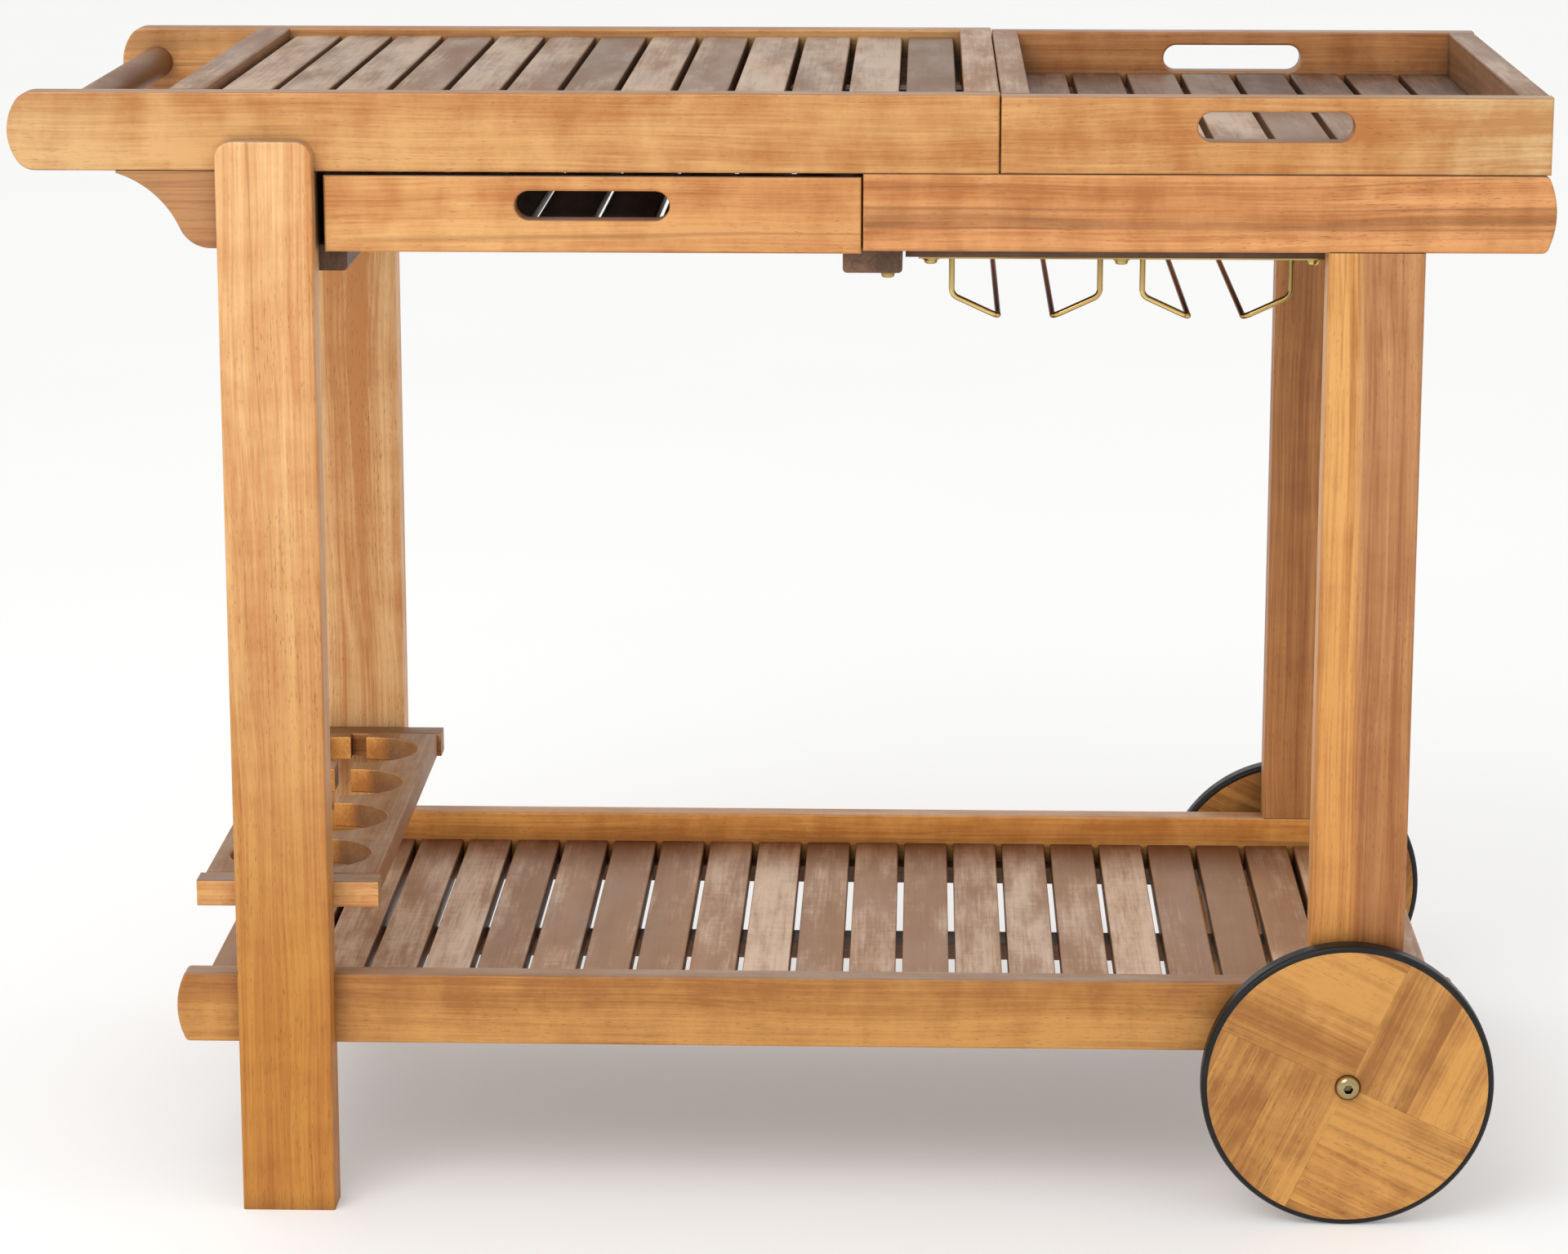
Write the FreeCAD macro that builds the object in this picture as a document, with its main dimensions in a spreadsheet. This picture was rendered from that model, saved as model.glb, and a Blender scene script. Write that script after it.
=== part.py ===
"""Wooden tea trolley: slatted top, lift-off tray, drawer, bottle rack, stemware rack, two wheels.

X runs along the trolley, away from the handle. Y runs from the front to the back, Z up.
The origin is on the floor, under the middle of the trolley. All sizes are millimetres.
"""
import FreeCAD, Part
import math
import os
import re

# Driving dimensions, each written once.
SIZES = {
    # Overall form
    "overall_length": 1055,
    "top_height": 798,
    "frame_width": 480,
    "board_thickness": 20,
    "edge_radius": 2,
    "fit_clearance": 0.05,
    "slide_clearance": 0.3,
    # Top deck
    "top_rail_length": 677,
    "top_rail_height": 54,
    "top_rail_bow": 12,
    "top_rail_corner": 15,
    "handle_diameter": 24,
    "handle_socket": 10,
    "left_cross_offset": 107.5,
    "cross_width": 24,
    "cross_height": 40,
    "top_slat_count": 13,
    "top_slat_recess": 6,
    "slat_thickness": 15,
    "slat_gap": 5,
    "slat_radius": 1.5,
    "cleat_width": 18,
    "cleat_height": 18,
    "batten_width": 30,
    # Corbels and aprons
    "corbel_length": 70,
    "corbel_tip": 1.5,
    "corbel_round": 23,
    "corbel_round_angle": 66,
    "corbel_flat": 6,
    "corbel_edge": 1,
    "apron_height": 53,
    "apron_bow": 6.2,
    "apron_corner": 5,
    "front_apron_length": 470.5,
    "mid_rail_offset": 5,
    # Legs
    "leg_width": 66,
    "leg_thickness": 30,
    "leg_cheek": 14,
    "leg_lap": 22,
    "leg_top_radius": 12,
    "left_leg_offset": 144,
    "right_leg_offset": 87.5,
    "right_leg_bottom": 60,
    # Lower shelf
    "shelf_height": 169,
    "shelf_rail_height": 51,
    "shelf_rail_length": 913,
    "shelf_rail_bow": 6.2,
    "shelf_rail_corner": 4,
    "shelf_offset": 96.5,
    "shelf_field_inset": 10.5,
    "shelf_slat_count": 23,
    "shelf_slat_recess": 23,
    "shelf_cross_width": 40,
    # Bottle rack
    "bottle_height": 236,
    "bottle_thickness": 19,
    "bottle_edge": 1.5,
    "bottle_rack_width": 129.5,
    "bottle_batten_depth": 22,
    "bottle_overhang": 3,
    "bottle_slot": 12.5,
    "bottle_opening_width": 78,
    "bottle_opening_length": 102,
    "bottle_end_margin": 13,
    "bottle_count": 4,
    # Drawer and its runners
    "drawer_leg_gap": 6,
    "drawer_apron_gap": 1,
    "drawer_top_gap": 2.5,
    "drawer_front_height": 52.5,
    "drawer_back_gap": 20,
    "drawer_side_inset": 2,
    "drawer_side_thickness": 12,
    "drawer_side_height": 42,
    "drawer_slat_count": 8,
    "drawer_slat_thickness": 9,
    "drawer_cleat_width": 12,
    "drawer_cleat_height": 8,
    "runner_width": 41,
    "runner_height": 18,
    "runner_reach": 19,
    "runner_end_gap": 1,
    "runner_edge": 3,
    "hand_slot_length": 106,
    "hand_slot_height": 20,
    "hand_slot_rise": 6,
    # Tray
    "tray_gap": 0.8,
    "tray_end_gap": 4.7,
    "tray_height": 52.5,
    "tray_floor_depth": 32,
    "tray_slat_count": 8,
    "tray_slat_thickness": 10,
    "tray_cleat_width": 12,
    "tray_cleat_height": 8,
    # Stemware rack
    "glass_batten_width": 24,
    "glass_batten_height": 24,
    "glass_batten_drop": 11,
    "glass_batten_inset": 42,
    "glass_bar_length": 282,
    "glass_bar_width": 12,
    "glass_bar_thickness": 2,
    "glass_bar_inset": 9,
    "glass_screw_inset": 8.5,
    "glass_screw_count": 3,
    "glass_screw_grip": 10,
    "glass_channel_gap": 29.5,
    "glass_slot": 38,
    "glass_drop": 26,
    "glass_slope_drop": 15,
    "wire_diameter": 4,
    "wire_bend_radius": 7,
    # Screws
    "screw_diameter": 4,
    "screw_head_diameter": 9,
    "screw_head_height": 3,
    "screw_washer_diameter": 12,
    "screw_washer_thickness": 1,
    "screw_grip": 14,
    "runner_screw_inset": 9,
    "runner_screw_count": 3,
    # Wheels and axles
    "wheel_radius": 103,
    "wheel_thickness": 16,
    "tyre_thickness": 4.3,
    "tyre_edge_radius": 3.2,
    "wheel_gap": 6,
    "wheel_seam_angle": 25,
    "quadrant_count": 4,
    "quadrant_seam": 0.1,
    "axle_offset": 6,
    "axle_diameter": 10,
    "bush_diameter": 16,
    "spacer_diameter": 24,
    "bolt_head_diameter": 18,
    "bolt_head_height": 6,
    "bolt_dome_radius": 5,
    "bolt_socket_radius": 3.5,
    "bolt_socket_depth": 3.5,
    "bolt_tip": 2,
    "nut_radius": 9,
    "nut_height": 8,
}

# Places that follow from the driving dimensions.
PLACES = {
    "left_end": "-overall_length / 2",
    "right_end": "overall_length / 2",
    "rail_face": "frame_width / 2",
    "rail_inner": "frame_width / 2 - board_thickness",
    "rail_bottom": "top_height - top_rail_height",
    "rail_right": "left_end + top_rail_length",
    "apron_bottom": "rail_bottom - apron_height",
    "apron_left": "right_end - front_apron_length",
    "rear_apron_length": "right_end - left_leg_right",
    # Slat field of the top deck
    "left_cross": "left_end + left_cross_offset",
    "top_field_left": "left_cross + cross_width",
    "top_field_right": "rail_right - cross_width",
    "top_slat_pitch": "(top_field_right - top_field_left - slat_gap) / top_slat_count",
    "top_slat_bottom": "top_height - top_slat_recess - slat_thickness",
    # Legs
    "left_leg_left": "left_end + left_leg_offset",
    "left_leg_right": "left_leg_left + leg_width",
    "left_leg_middle": "left_leg_left + leg_width / 2",
    "left_leg_face": "rail_face + leg_cheek",
    "left_leg_inner": "left_leg_face - leg_thickness",
    "right_leg_left": "right_end - right_leg_offset - leg_width",
    "right_leg_middle": "right_leg_left + leg_width / 2",
    "right_leg_inner": "rail_face - leg_thickness",
    # Shelf: its rails lie flush with the inner faces of the right legs
    "shelf_left": "left_end + shelf_offset",
    "shelf_bottom": "shelf_height - shelf_rail_height",
    "shelf_face": "right_leg_inner + board_thickness",
    "shelf_field_left": "shelf_left + shelf_field_inset",
    "shelf_field_length": "shelf_rail_length - 2 * shelf_field_inset",
    "shelf_slat_pitch": "(shelf_field_length + slat_gap) / shelf_slat_count",
    "shelf_slat_bottom": "shelf_height - shelf_slat_recess - slat_thickness",
    "shelf_cleat_height": "shelf_slat_bottom - shelf_bottom",
    # Bottle rack, centred between the left legs
    "bottle_left": "left_leg_middle - bottle_rack_width / 2",
    "bottle_bottom": "bottle_height - bottle_thickness",
    "bottle_board_width": "(bottle_rack_width - bottle_slot) / 2 - bottle_overhang",
    "bottle_half": "left_leg_inner - bottle_batten_depth",
    "bottle_reach": "bottle_half - bottle_end_margin - bottle_opening_width / 2",
    "bottle_pitch": "2 * bottle_reach / (bottle_count - 1)",
    # Cross rails and runners
    "left_rail": "left_leg_right - cross_width",
    "mid_rail": "apron_left + mid_rail_offset",
    "right_rail": "right_leg_middle - cross_width / 2",
    "runner_half": "rail_inner - runner_end_gap",
    "runner_bottom": "apron_bottom - runner_height",
    "runner_screw_spacing": "runner_half - runner_screw_inset",
    # Drawer
    "drawer_left": "left_leg_right + drawer_leg_gap",
    "drawer_right": "apron_left - drawer_apron_gap",
    "drawer_length": "drawer_right - drawer_left",
    "drawer_front_bottom": "rail_bottom - drawer_top_gap - drawer_front_height",
    "drawer_bottom": "apron_bottom + slide_clearance",
    "drawer_inner_left": "drawer_left + drawer_side_inset + drawer_side_thickness",
    "drawer_inner_length": "drawer_length - 2 * (drawer_side_inset + drawer_side_thickness)",
    "drawer_depth": "rail_face + rail_inner - drawer_back_gap",
    "drawer_back": "drawer_depth - rail_face - drawer_side_thickness",
    "drawer_slat_pitch": "(drawer_inner_length + slat_gap) / drawer_slat_count",
    # Tray
    "tray_left": "rail_right + tray_gap",
    "tray_length": "right_end - tray_end_gap - tray_left",
    "tray_bottom": "rail_bottom + slide_clearance",
    "tray_inner_left": "tray_left + board_thickness",
    "tray_inner_length": "tray_length - 2 * board_thickness",
    "tray_slat_pitch": "(tray_inner_length + slat_gap) / tray_slat_count",
    "tray_slat_bottom": "tray_bottom + tray_height - tray_floor_depth - tray_slat_thickness",
    # Stemware rack
    "glass_batten_left": "mid_rail + cross_width",
    "glass_batten_length": "right_rail - glass_batten_left",
    "glass_batten_bottom": "apron_bottom - glass_batten_drop",
    "glass_batten_spacing": "2 * (rail_inner - glass_batten_inset)",
    "glass_bar_left": "glass_batten_left + glass_bar_inset",
    "glass_bar_bottom": "glass_batten_bottom - glass_bar_thickness",
    "glass_middle": "glass_bar_left + glass_bar_length / 2",
    "glass_first_screw": "glass_bar_left + glass_screw_inset",
    "glass_pitch": "(glass_bar_length - 2 * glass_screw_inset) / (glass_screw_count - 1)",
    "glass_channel_width": "glass_pitch - glass_channel_gap",
    # Wheels
    "axle_x": "right_leg_middle - axle_offset",
    "wood_radius": "wheel_radius - tyre_thickness",
    "wheel_inner": "rail_face + wheel_gap",
    "wheel_outer": "wheel_inner + wheel_thickness",
    "head_under": "wheel_outer + slide_clearance",
    "bolt_end": "right_leg_inner - nut_height - bolt_tip",
    "quadrant_angle": "360 / quadrant_count - quadrant_seam",
}

FRONT, REAR = -1, 1
FULL_TURN = 360
TOUCHING = 1e-6
NEARBY = 1
PAIR = "2"
HEXAGON_SIDES = 6
TURN_TO = {
    "x": FreeCAD.Rotation(FreeCAD.Vector(0, 1, 0), 90),
    "y": FreeCAD.Rotation(FreeCAD.Vector(1, 0, 0), -90),
    "z": FreeCAD.Rotation(),
}

doc = FreeCAD.newDocument("TeaTrolley")
nodes = []


def qualify(text, local=()):
    """Puts the sheet's name before each alias in a formula; aliases of the local sheet stay bare."""
    def owner(match):
        word = match.group()
        if word in local:
            return word
        if word in SIZES:
            return "Sizes." + word
        return "Places." + word if word in PLACES else word
    return re.sub(r"[a-z][a-z0-9_]*", owner, text)


def make_sheet(name, contents):
    """A sheet with one named cell for each entry."""
    sheet = doc.addObject("Spreadsheet::Sheet", name)
    for row, (alias, content) in enumerate(contents.items(), start=1):
        sheet.set(f"A{row}", alias)
        sheet.set(f"B{row}", content)
        sheet.setAlias(f"B{row}", alias)
    doc.recompute()
    return sheet


sizes = make_sheet("Sizes", {alias: str(value) for alias, value in SIZES.items()})
places = make_sheet("Places", {alias: "=" + qualify(text, PLACES) for alias, text in PLACES.items()})


def bind(item, **formulas):
    """Binds properties of an object to formulas over the sheets."""
    for name, text in formulas.items():
        item.setExpression(name, qualify(text))


def place(item, x, y, z):
    """Binds an object's position."""
    for axis, text in zip("xyz", (x, y, z)):
        item.setExpression("Placement.Base." + axis, qualify(text))


def value(alias):
    """A number from either sheet."""
    return float((sizes if alias in SIZES else places).get(alias))


def new_body(label, x="0", y="0", z="0", grouped=False):
    """An empty sub-part at a place; a grouped one may hold several separate solids."""
    body = doc.addObject("PartDesign::Body", label)
    body.Label = label
    body.AllowCompound = grouped
    place(body, x, y, z)
    nodes.append(body)
    return body


def box(body, x, y, z, length, depth, height, kind="Additive"):
    """Adds a block to a body, or cuts one away."""
    feature = body.newObject(f"PartDesign::{kind}Box", f"{body.Name}_{kind}_block")
    bind(feature, Length=length, Width=depth, Height=height)
    place(feature, x, y, z)
    return feature


def rod(body, x, y, z, radius, length, along, kind="Additive"):
    """Adds a cylinder to a body, or cuts one away."""
    feature = body.newObject(f"PartDesign::{kind}Cylinder", f"{body.Name}_{kind}_rod")
    feature.Placement = FreeCAD.Placement(FreeCAD.Vector(), TURN_TO[along])
    bind(feature, Radius=radius, Height=length)
    place(feature, x, y, z)
    return feature


def cut_box(body, x, y, z, length, depth, height):
    """Cuts a block away from a body."""
    return box(body, x, y, z, length, depth, height, "Subtractive")


def cut_rod(body, x, y, z, radius, length, along):
    """Cuts a cylinder away from a body."""
    return rod(body, x, y, z, radius, length, along, "Subtractive")


def hexagon(body, x, y, z, radius, depth, kind):
    """Adds a hexagonal prism along Y to a body, or cuts one away."""
    feature = body.newObject(f"PartDesign::{kind}Prism", f"{body.Name}_{kind}_hexagon")
    feature.Placement = FreeCAD.Placement(FreeCAD.Vector(), TURN_TO["y"])
    feature.Polygon = HEXAGON_SIDES
    bind(feature, Circumradius=radius, Height=depth)
    place(feature, x, y, z)
    return feature


def runs_along(edge, axes):
    """Whether an edge is straight and parallel to one of the named axes."""
    if edge.Curve.TypeId != "Part::GeomLine":
        return False
    step = edge.Vertexes[-1].Point - edge.Vertexes[0].Point
    return any(abs(abs(step["xyz".index(axis)]) - step.Length) < TOUCHING for axis in axes)


def lies_across(edge, axis):
    """Whether an edge lies in a plane square to the named axis."""
    bounds = edge.BoundBox
    return (bounds.XLength, bounds.YLength, bounds.ZLength)["xyz".index(axis)] < TOUCHING


def dress_edges(body, kind, size, choose, by):
    """Rounds or chamfers the edges of a body that the choose function accepts."""
    doc.recompute()
    base = body.Tip
    names = [f"Edge{number}" for number, edge in enumerate(base.Shape.Edges, start=1) if choose(edge)]
    feature = body.newObject("PartDesign::" + kind, f"{body.Name}_{kind}")
    feature.Base = (base, names)
    bind(feature, **{size: by})
    return feature


def round_edges(body, choose, by="edge_radius"):
    """Rounds the edges of a body that the choose function accepts."""
    return dress_edges(body, "Fillet", "Radius", choose, by)


def origin_feature(body, role):
    """An axis or plane of a body's own origin."""
    return next(item for item in body.Origin.OriginFeatures if item.Role == role)


def row(body, axis, count, pitch, features=()):
    """Repeats features of a body along an axis, or the whole body when none are named."""
    doc.recompute()
    pattern = body.newObject("PartDesign::LinearPattern", f"{body.Name}_row")
    if features:
        pattern.Originals = list(features)
    else:
        pattern.TransformMode = "Whole shape"
    pattern.Direction = (origin_feature(body, axis.upper() + "_Axis"), [""])
    pattern.Mode = "Extent"
    bind(pattern, Length=f"({pitch}) * ({count} - 1)", Occurrences=count)
    body.Tip = pattern


def mirror_front_to_back(body):
    """Adds the mirror image of the whole body across the trolley's middle plane."""
    doc.recompute()
    mirror = body.newObject("PartDesign::Mirrored", f"{body.Name}_mirror")
    mirror.TransformMode = "Whole shape"
    mirror.MirrorPlane = (origin_feature(body, "XZ_Plane"), [""])
    body.Tip = mirror


def board(label, x, y, z, length, depth, height, rounded=""):
    """A plain board; the edges along the axes named in rounded are eased."""
    body = new_body(label, x, y, z)
    box(body, "0", "0", "0", length, depth, height)
    if rounded:
        round_edges(body, lambda edge: runs_along(edge, rounded))
    return body


def pad_outline(body, outline):
    """Gives a body the thickness of a board along Y, from an outline in X and Z."""
    sketch = body.newObject("Sketcher::SketchObject", f"{body.Name}_outline")
    sketch.AttachmentSupport = [(origin_feature(body, "XZ_Plane"), "")]
    sketch.MapMode = "FlatFace"
    for curve in outline:
        corners = [FreeCAD.Vector(x, z, 0) for x, z in curve]
        sketch.addGeometry(Part.Arc(*corners) if len(corners) == 3 else Part.LineSegment(*corners))
    pad = body.newObject("PartDesign::Pad", f"{body.Name}_pad")
    pad.Profile = sketch
    pad.Reversed = True
    bind(pad, Length="board_thickness")


def bowed_board(label, x, y, z, length, part, left, right):
    """A rail whose named ends are bowed, with round corners there and eased outlines.

    The height, bow and corner radius are named after the part.
    """
    body = new_body(label, x, y, z)
    height = value(f"{part}_height")
    bow = value(f"{part}_bow")
    end = value(length)
    start_x = bow if left else 0
    end_x = end - bow if right else end
    low_left, low_right = (start_x, 0), (end_x, 0)
    high_right, high_left = (end_x, height), (start_x, height)
    right_end = [low_right, (end, height / 2), high_right] if right else [low_right, high_right]
    left_end = [high_left, (0, height / 2), low_left] if left else [high_left, low_left]
    pad_outline(body, [[low_left, low_right], right_end, [high_right, high_left], left_end])

    def bowed_corner(edge):
        middle = edge.BoundBox.Center.x
        on_left = left and abs(middle - start_x) < TOUCHING
        on_right = right and abs(middle - end_x) < TOUCHING
        return runs_along(edge, "y") and (on_left or on_right)

    round_edges(body, bowed_corner, f"{part}_corner")
    round_edges(body, lambda edge: lies_across(edge, "y"))
    return body


def face_y(side, outer, thickness):
    """Where a board starts in Y when its outer face is this far in front or behind."""
    return f"-{outer}" if side == FRONT else f"{outer} - {thickness}"


def slat_set(label, x, y, z, pitch, length, thickness, count):
    """A row of slats that run from front to back."""
    body = new_body(label, x, y, z, grouped=True)
    box(body, "0", "0", "0", f"{pitch} - slat_gap", length, thickness)
    round_edges(body, lambda edge: runs_along(edge, "y"), "slat_radius")
    row(body, "x", count, pitch)


def cleat_pair(label, x, z, length, outer, width, height):
    """A ledger along the front and its mirror image along the back."""
    body = new_body(label, grouped=True)
    box(body, x, f"-({outer})", z, length, width, height)
    mirror_front_to_back(body)


def hand_slot(body, length, height):
    """A full-round hand hold through a board that stands along X."""
    doc.recompute()
    radius = "hand_slot_height / 2"
    middle = f"{height} / 2 + hand_slot_rise"
    reach = "hand_slot_length / 2 - hand_slot_height / 2"
    cut_box(body, f"{length} / 2 - ({reach})", "0", f"{middle} - {radius}",
            f"2 * ({reach})", "board_thickness", "hand_slot_height")
    for sign in "-+":
        cut_rod(body, f"{length} / 2 {sign} ({reach})", "0", middle, radius, "board_thickness", "y")
    doc.recompute()
    bounds = body.Tip.Shape.BoundBox

    def inside(edge):
        edge_box = edge.BoundBox
        clear = value("edge_radius") + NEARBY
        return (lies_across(edge, "y") and edge_box.ZMin > bounds.ZMin + clear
                and edge_box.ZMax < bounds.ZMax - clear and edge_box.XMin > bounds.XMin + clear
                and edge_box.XMax < bounds.XMax - clear)

    round_edges(body, inside)


def screw_row(body, x, y, z, depth, axis, count, pitch):
    """Bores a row of upright screw holes in a body."""
    hole = cut_rod(body, x, y, z, "screw_diameter / 2 + fit_clearance", depth, "z")
    row(body, axis, count, pitch, [hole])


def top_deck():
    """Rails, handle, cross pieces, slats and what carries the slats."""
    for side, name in ((FRONT, "top_front_rail"), (REAR, "top_rear_rail")):
        rail = bowed_board(name, "left_end", face_y(side, "rail_face", "board_thickness"),
                           "rail_bottom", "top_rail_length", "top_rail", True, False)
        cut_rod(rail, "top_rail_height / 2", "board_thickness - handle_socket" if side == FRONT else "0",
                "top_rail_height / 2", "handle_diameter / 2 + fit_clearance", "handle_socket", "y")
    handle = new_body("handle_dowel", "left_end + top_rail_height / 2", "-rail_inner - handle_socket",
                      "rail_bottom + top_rail_height / 2")
    rod(handle, "0", "0", "0", "handle_diameter / 2", "2 * (rail_inner + handle_socket)", "y")
    for name, x in (("top_left_cross", "left_cross"), ("top_right_cross", "top_field_right")):
        board(name, x, "-rail_inner", "top_height - cross_height",
              "cross_width", "2 * rail_inner", "cross_height", "y")
    slat_set("top_slats", "top_field_left + slat_gap", "-rail_inner", "top_slat_bottom",
             "top_slat_pitch", "2 * rail_inner", "slat_thickness", "top_slat_count")
    field = "top_field_right - top_field_left"
    cleat_pair("top_slat_cleats", "top_field_left", "top_slat_bottom - cleat_height",
               field, "rail_inner", "cleat_width", "cleat_height")
    board("top_center_batten", "top_field_left", "-batten_width / 2", "top_slat_bottom - cleat_height",
          field, "batten_width", "cleat_height")


def corbel(label, side):
    """An ogee bracket under a top rail: a long cove that runs into a round, butted to the left leg."""
    body = new_body(label, "left_leg_left - corbel_length",
                    face_y(side, "rail_face", "board_thickness"), "apron_bottom")
    height = value("apron_height")
    end = value("corbel_length")
    radius = value("corbel_round")
    flat = end - value("corbel_flat")

    def on_round(angle):
        return flat - radius * math.sin(angle), radius * (1 - math.cos(angle))

    angle = math.radians(value("corbel_round_angle"))
    join_x, join_z = on_round(angle)
    tip_z = height - value("corbel_tip")
    drop = tip_z - join_z
    lift = math.tan((angle - math.atan2(drop, join_x)) / 2) / 2
    cove = (join_x / 2 + lift * drop, (tip_z + join_z) / 2 + lift * join_x)
    pad_outline(body, [[(0, tip_z), cove, (join_x, join_z)],
                       [(join_x, join_z), on_round(angle / 2), (flat, 0)],
                       [(flat, 0), (end, 0)], [(end, 0), (end, height)],
                       [(end, height), (0, height)], [(0, height), (0, tip_z)]])

    def shaped(edge):
        bounds = edge.BoundBox
        return lies_across(edge, "y") and bounds.ZMin < tip_z - NEARBY and bounds.XMin < end - NEARBY

    round_edges(body, shaped, "corbel_edge")


def underframe():
    """Corbels, aprons, cross rails and the drawer's runners."""
    corbel("front_corbel", FRONT)
    corbel("rear_corbel", REAR)
    bowed_board("front_apron", "apron_left", face_y(FRONT, "rail_face", "board_thickness"),
                "apron_bottom", "front_apron_length", "apron", False, True)
    bowed_board("rear_apron", "left_leg_right", face_y(REAR, "rail_face", "board_thickness"),
                "apron_bottom", "rear_apron_length", "apron", False, True)
    rails = (("left_cross_rail", "left_rail", "left_leg_inner"),
             ("mid_cross_rail", "mid_rail", "rail_inner"),
             ("right_cross_rail", "right_rail", "right_leg_inner"))
    for name, x, half in rails:
        rail = board(name, x, f"-{half}", "apron_bottom", "cross_width", f"2 * {half}", "apron_height")
        if name != "right_cross_rail":
            screw_row(rail, "cross_width / 2", f"{half} - runner_screw_spacing", "0",
                      "screw_grip", "y", "runner_screw_count", "runner_screw_spacing")
    runners = (("drawer_runner_left", "left_leg_right + runner_reach - runner_width",
                "runner_width - runner_reach - cross_width / 2"),
               ("drawer_runner_right", "mid_rail - runner_reach", "runner_reach + cross_width / 2"))
    for name, x, screw_x in runners:
        runner = board(name, x, "-runner_half", "runner_bottom",
                       "runner_width", "2 * runner_half", "runner_height")
        round_edges(runner, lambda edge: runs_along(edge, "y") and edge.BoundBox.ZMax < TOUCHING,
                    "runner_edge")
        screw_row(runner, screw_x, "runner_half - runner_screw_spacing", "0",
                  "runner_height", "y", "runner_screw_count", "runner_screw_spacing")


def screws(label, x, y, z, depth, along_x, along_y):
    """Pan-head screws with washers, driven up from a face at z, in a grid of (count, pitch) each way."""
    body = new_body(label, x, y, z, grouped=True)
    below = "screw_washer_thickness"
    rod(body, "0", "0", f"-{below}", "screw_washer_diameter / 2", below, "z")
    rod(body, "0", "0", f"-{below} - screw_head_height", "screw_head_diameter / 2", "screw_head_height", "z")
    doc.recompute()
    lowest = body.Tip.Shape.BoundBox.ZMin
    round_edges(body, lambda edge: edge.BoundBox.ZMax < lowest + TOUCHING, "screw_head_height / 2")
    rod(body, "0", "0", "0", "screw_diameter / 2", depth, "z")
    row(body, "x", *along_x)
    row(body, "y", *along_y)


def legs():
    """Two fixed legs that lap over the top rails, two legs under the aprons that carry the wheels."""
    for side, name in ((FRONT, "leg_front_left"), (REAR, "leg_rear_left")):
        leg = new_body(name, "left_leg_left", face_y(side, "left_leg_face", "leg_thickness"))
        box(leg, "0", "0", "0", "leg_width", "leg_thickness", "rail_bottom + leg_lap")
        doc.recompute()
        top = leg.Tip.Shape.BoundBox.ZMax
        round_edges(leg, lambda edge: runs_along(edge, "y") and edge.BoundBox.ZMin > top - NEARBY,
                    "leg_top_radius")
        doc.recompute()
        outer = 0 if side == FRONT else value("leg_thickness")
        round_edges(leg, lambda edge: lies_across(edge, "y")
                    and abs(edge.BoundBox.YMin - outer) < TOUCHING and edge.BoundBox.ZMax > NEARBY)
        inward = "leg_cheek" if side == FRONT else "0"
        cut_box(leg, "0", inward, "rail_bottom", "leg_width", "leg_thickness - leg_cheek", "leg_lap")
        notch = "shelf_face - left_leg_inner"
        cut_box(leg, "0", f"leg_thickness - ({notch})" if side == FRONT else "0", "shelf_bottom",
                "leg_width", notch, "shelf_rail_height")
    for side, name in ((FRONT, "leg_front_right"), (REAR, "leg_rear_right")):
        leg = new_body(name, "right_leg_left", face_y(side, "rail_face", "leg_thickness"),
                       "right_leg_bottom")
        box(leg, "0", "0", "0", "leg_width", "leg_thickness", "rail_bottom - right_leg_bottom")
        round_edges(leg, lambda edge: runs_along(edge, "z"))
        cut_box(leg, "0", "0" if side == FRONT else "leg_thickness - board_thickness",
                "apron_bottom - right_leg_bottom", "leg_width", "board_thickness", "apron_height")
        cut_box(leg, "0", "leg_thickness - board_thickness" if side == FRONT else "0",
                "shelf_bottom - right_leg_bottom", "leg_width", "board_thickness", "shelf_rail_height")
        cut_rod(leg, "axle_x - right_leg_left", "0", "wheel_radius - right_leg_bottom",
                "axle_diameter / 2 + fit_clearance", "leg_thickness", "y")


def shelf():
    """Bow-ended rails, slats, ledgers, cross rails and a centre batten."""
    for side, name in ((FRONT, "shelf_front_rail"), (REAR, "shelf_rear_rail")):
        bowed_board(name, "shelf_left", face_y(side, "shelf_face", "board_thickness"),
                    "shelf_bottom", "shelf_rail_length", "shelf_rail", True, True)
    slat_set("shelf_slats", "shelf_field_left", "-right_leg_inner", "shelf_slat_bottom",
             "shelf_slat_pitch", "2 * right_leg_inner", "slat_thickness", "shelf_slat_count")
    cleat_pair("shelf_slat_cleats", "shelf_field_left", "shelf_bottom", "shelf_field_length",
               "right_leg_inner", "cleat_width", "shelf_cleat_height")
    half = "(right_leg_inner - cleat_width)"
    for name, middle in (("shelf_left_cross_rail", "left_leg_middle"),
                         ("shelf_right_cross_rail", "right_leg_middle")):
        board(name, f"{middle} - shelf_cross_width / 2", f"-{half}", "shelf_bottom",
              "shelf_cross_width", f"2 * {half}", "shelf_cleat_height")
    board("shelf_center_batten", "left_leg_middle + shelf_cross_width / 2", "-batten_width / 2",
          "shelf_bottom", "right_leg_middle - left_leg_middle - shelf_cross_width",
          "batten_width", "shelf_cleat_height")


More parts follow.
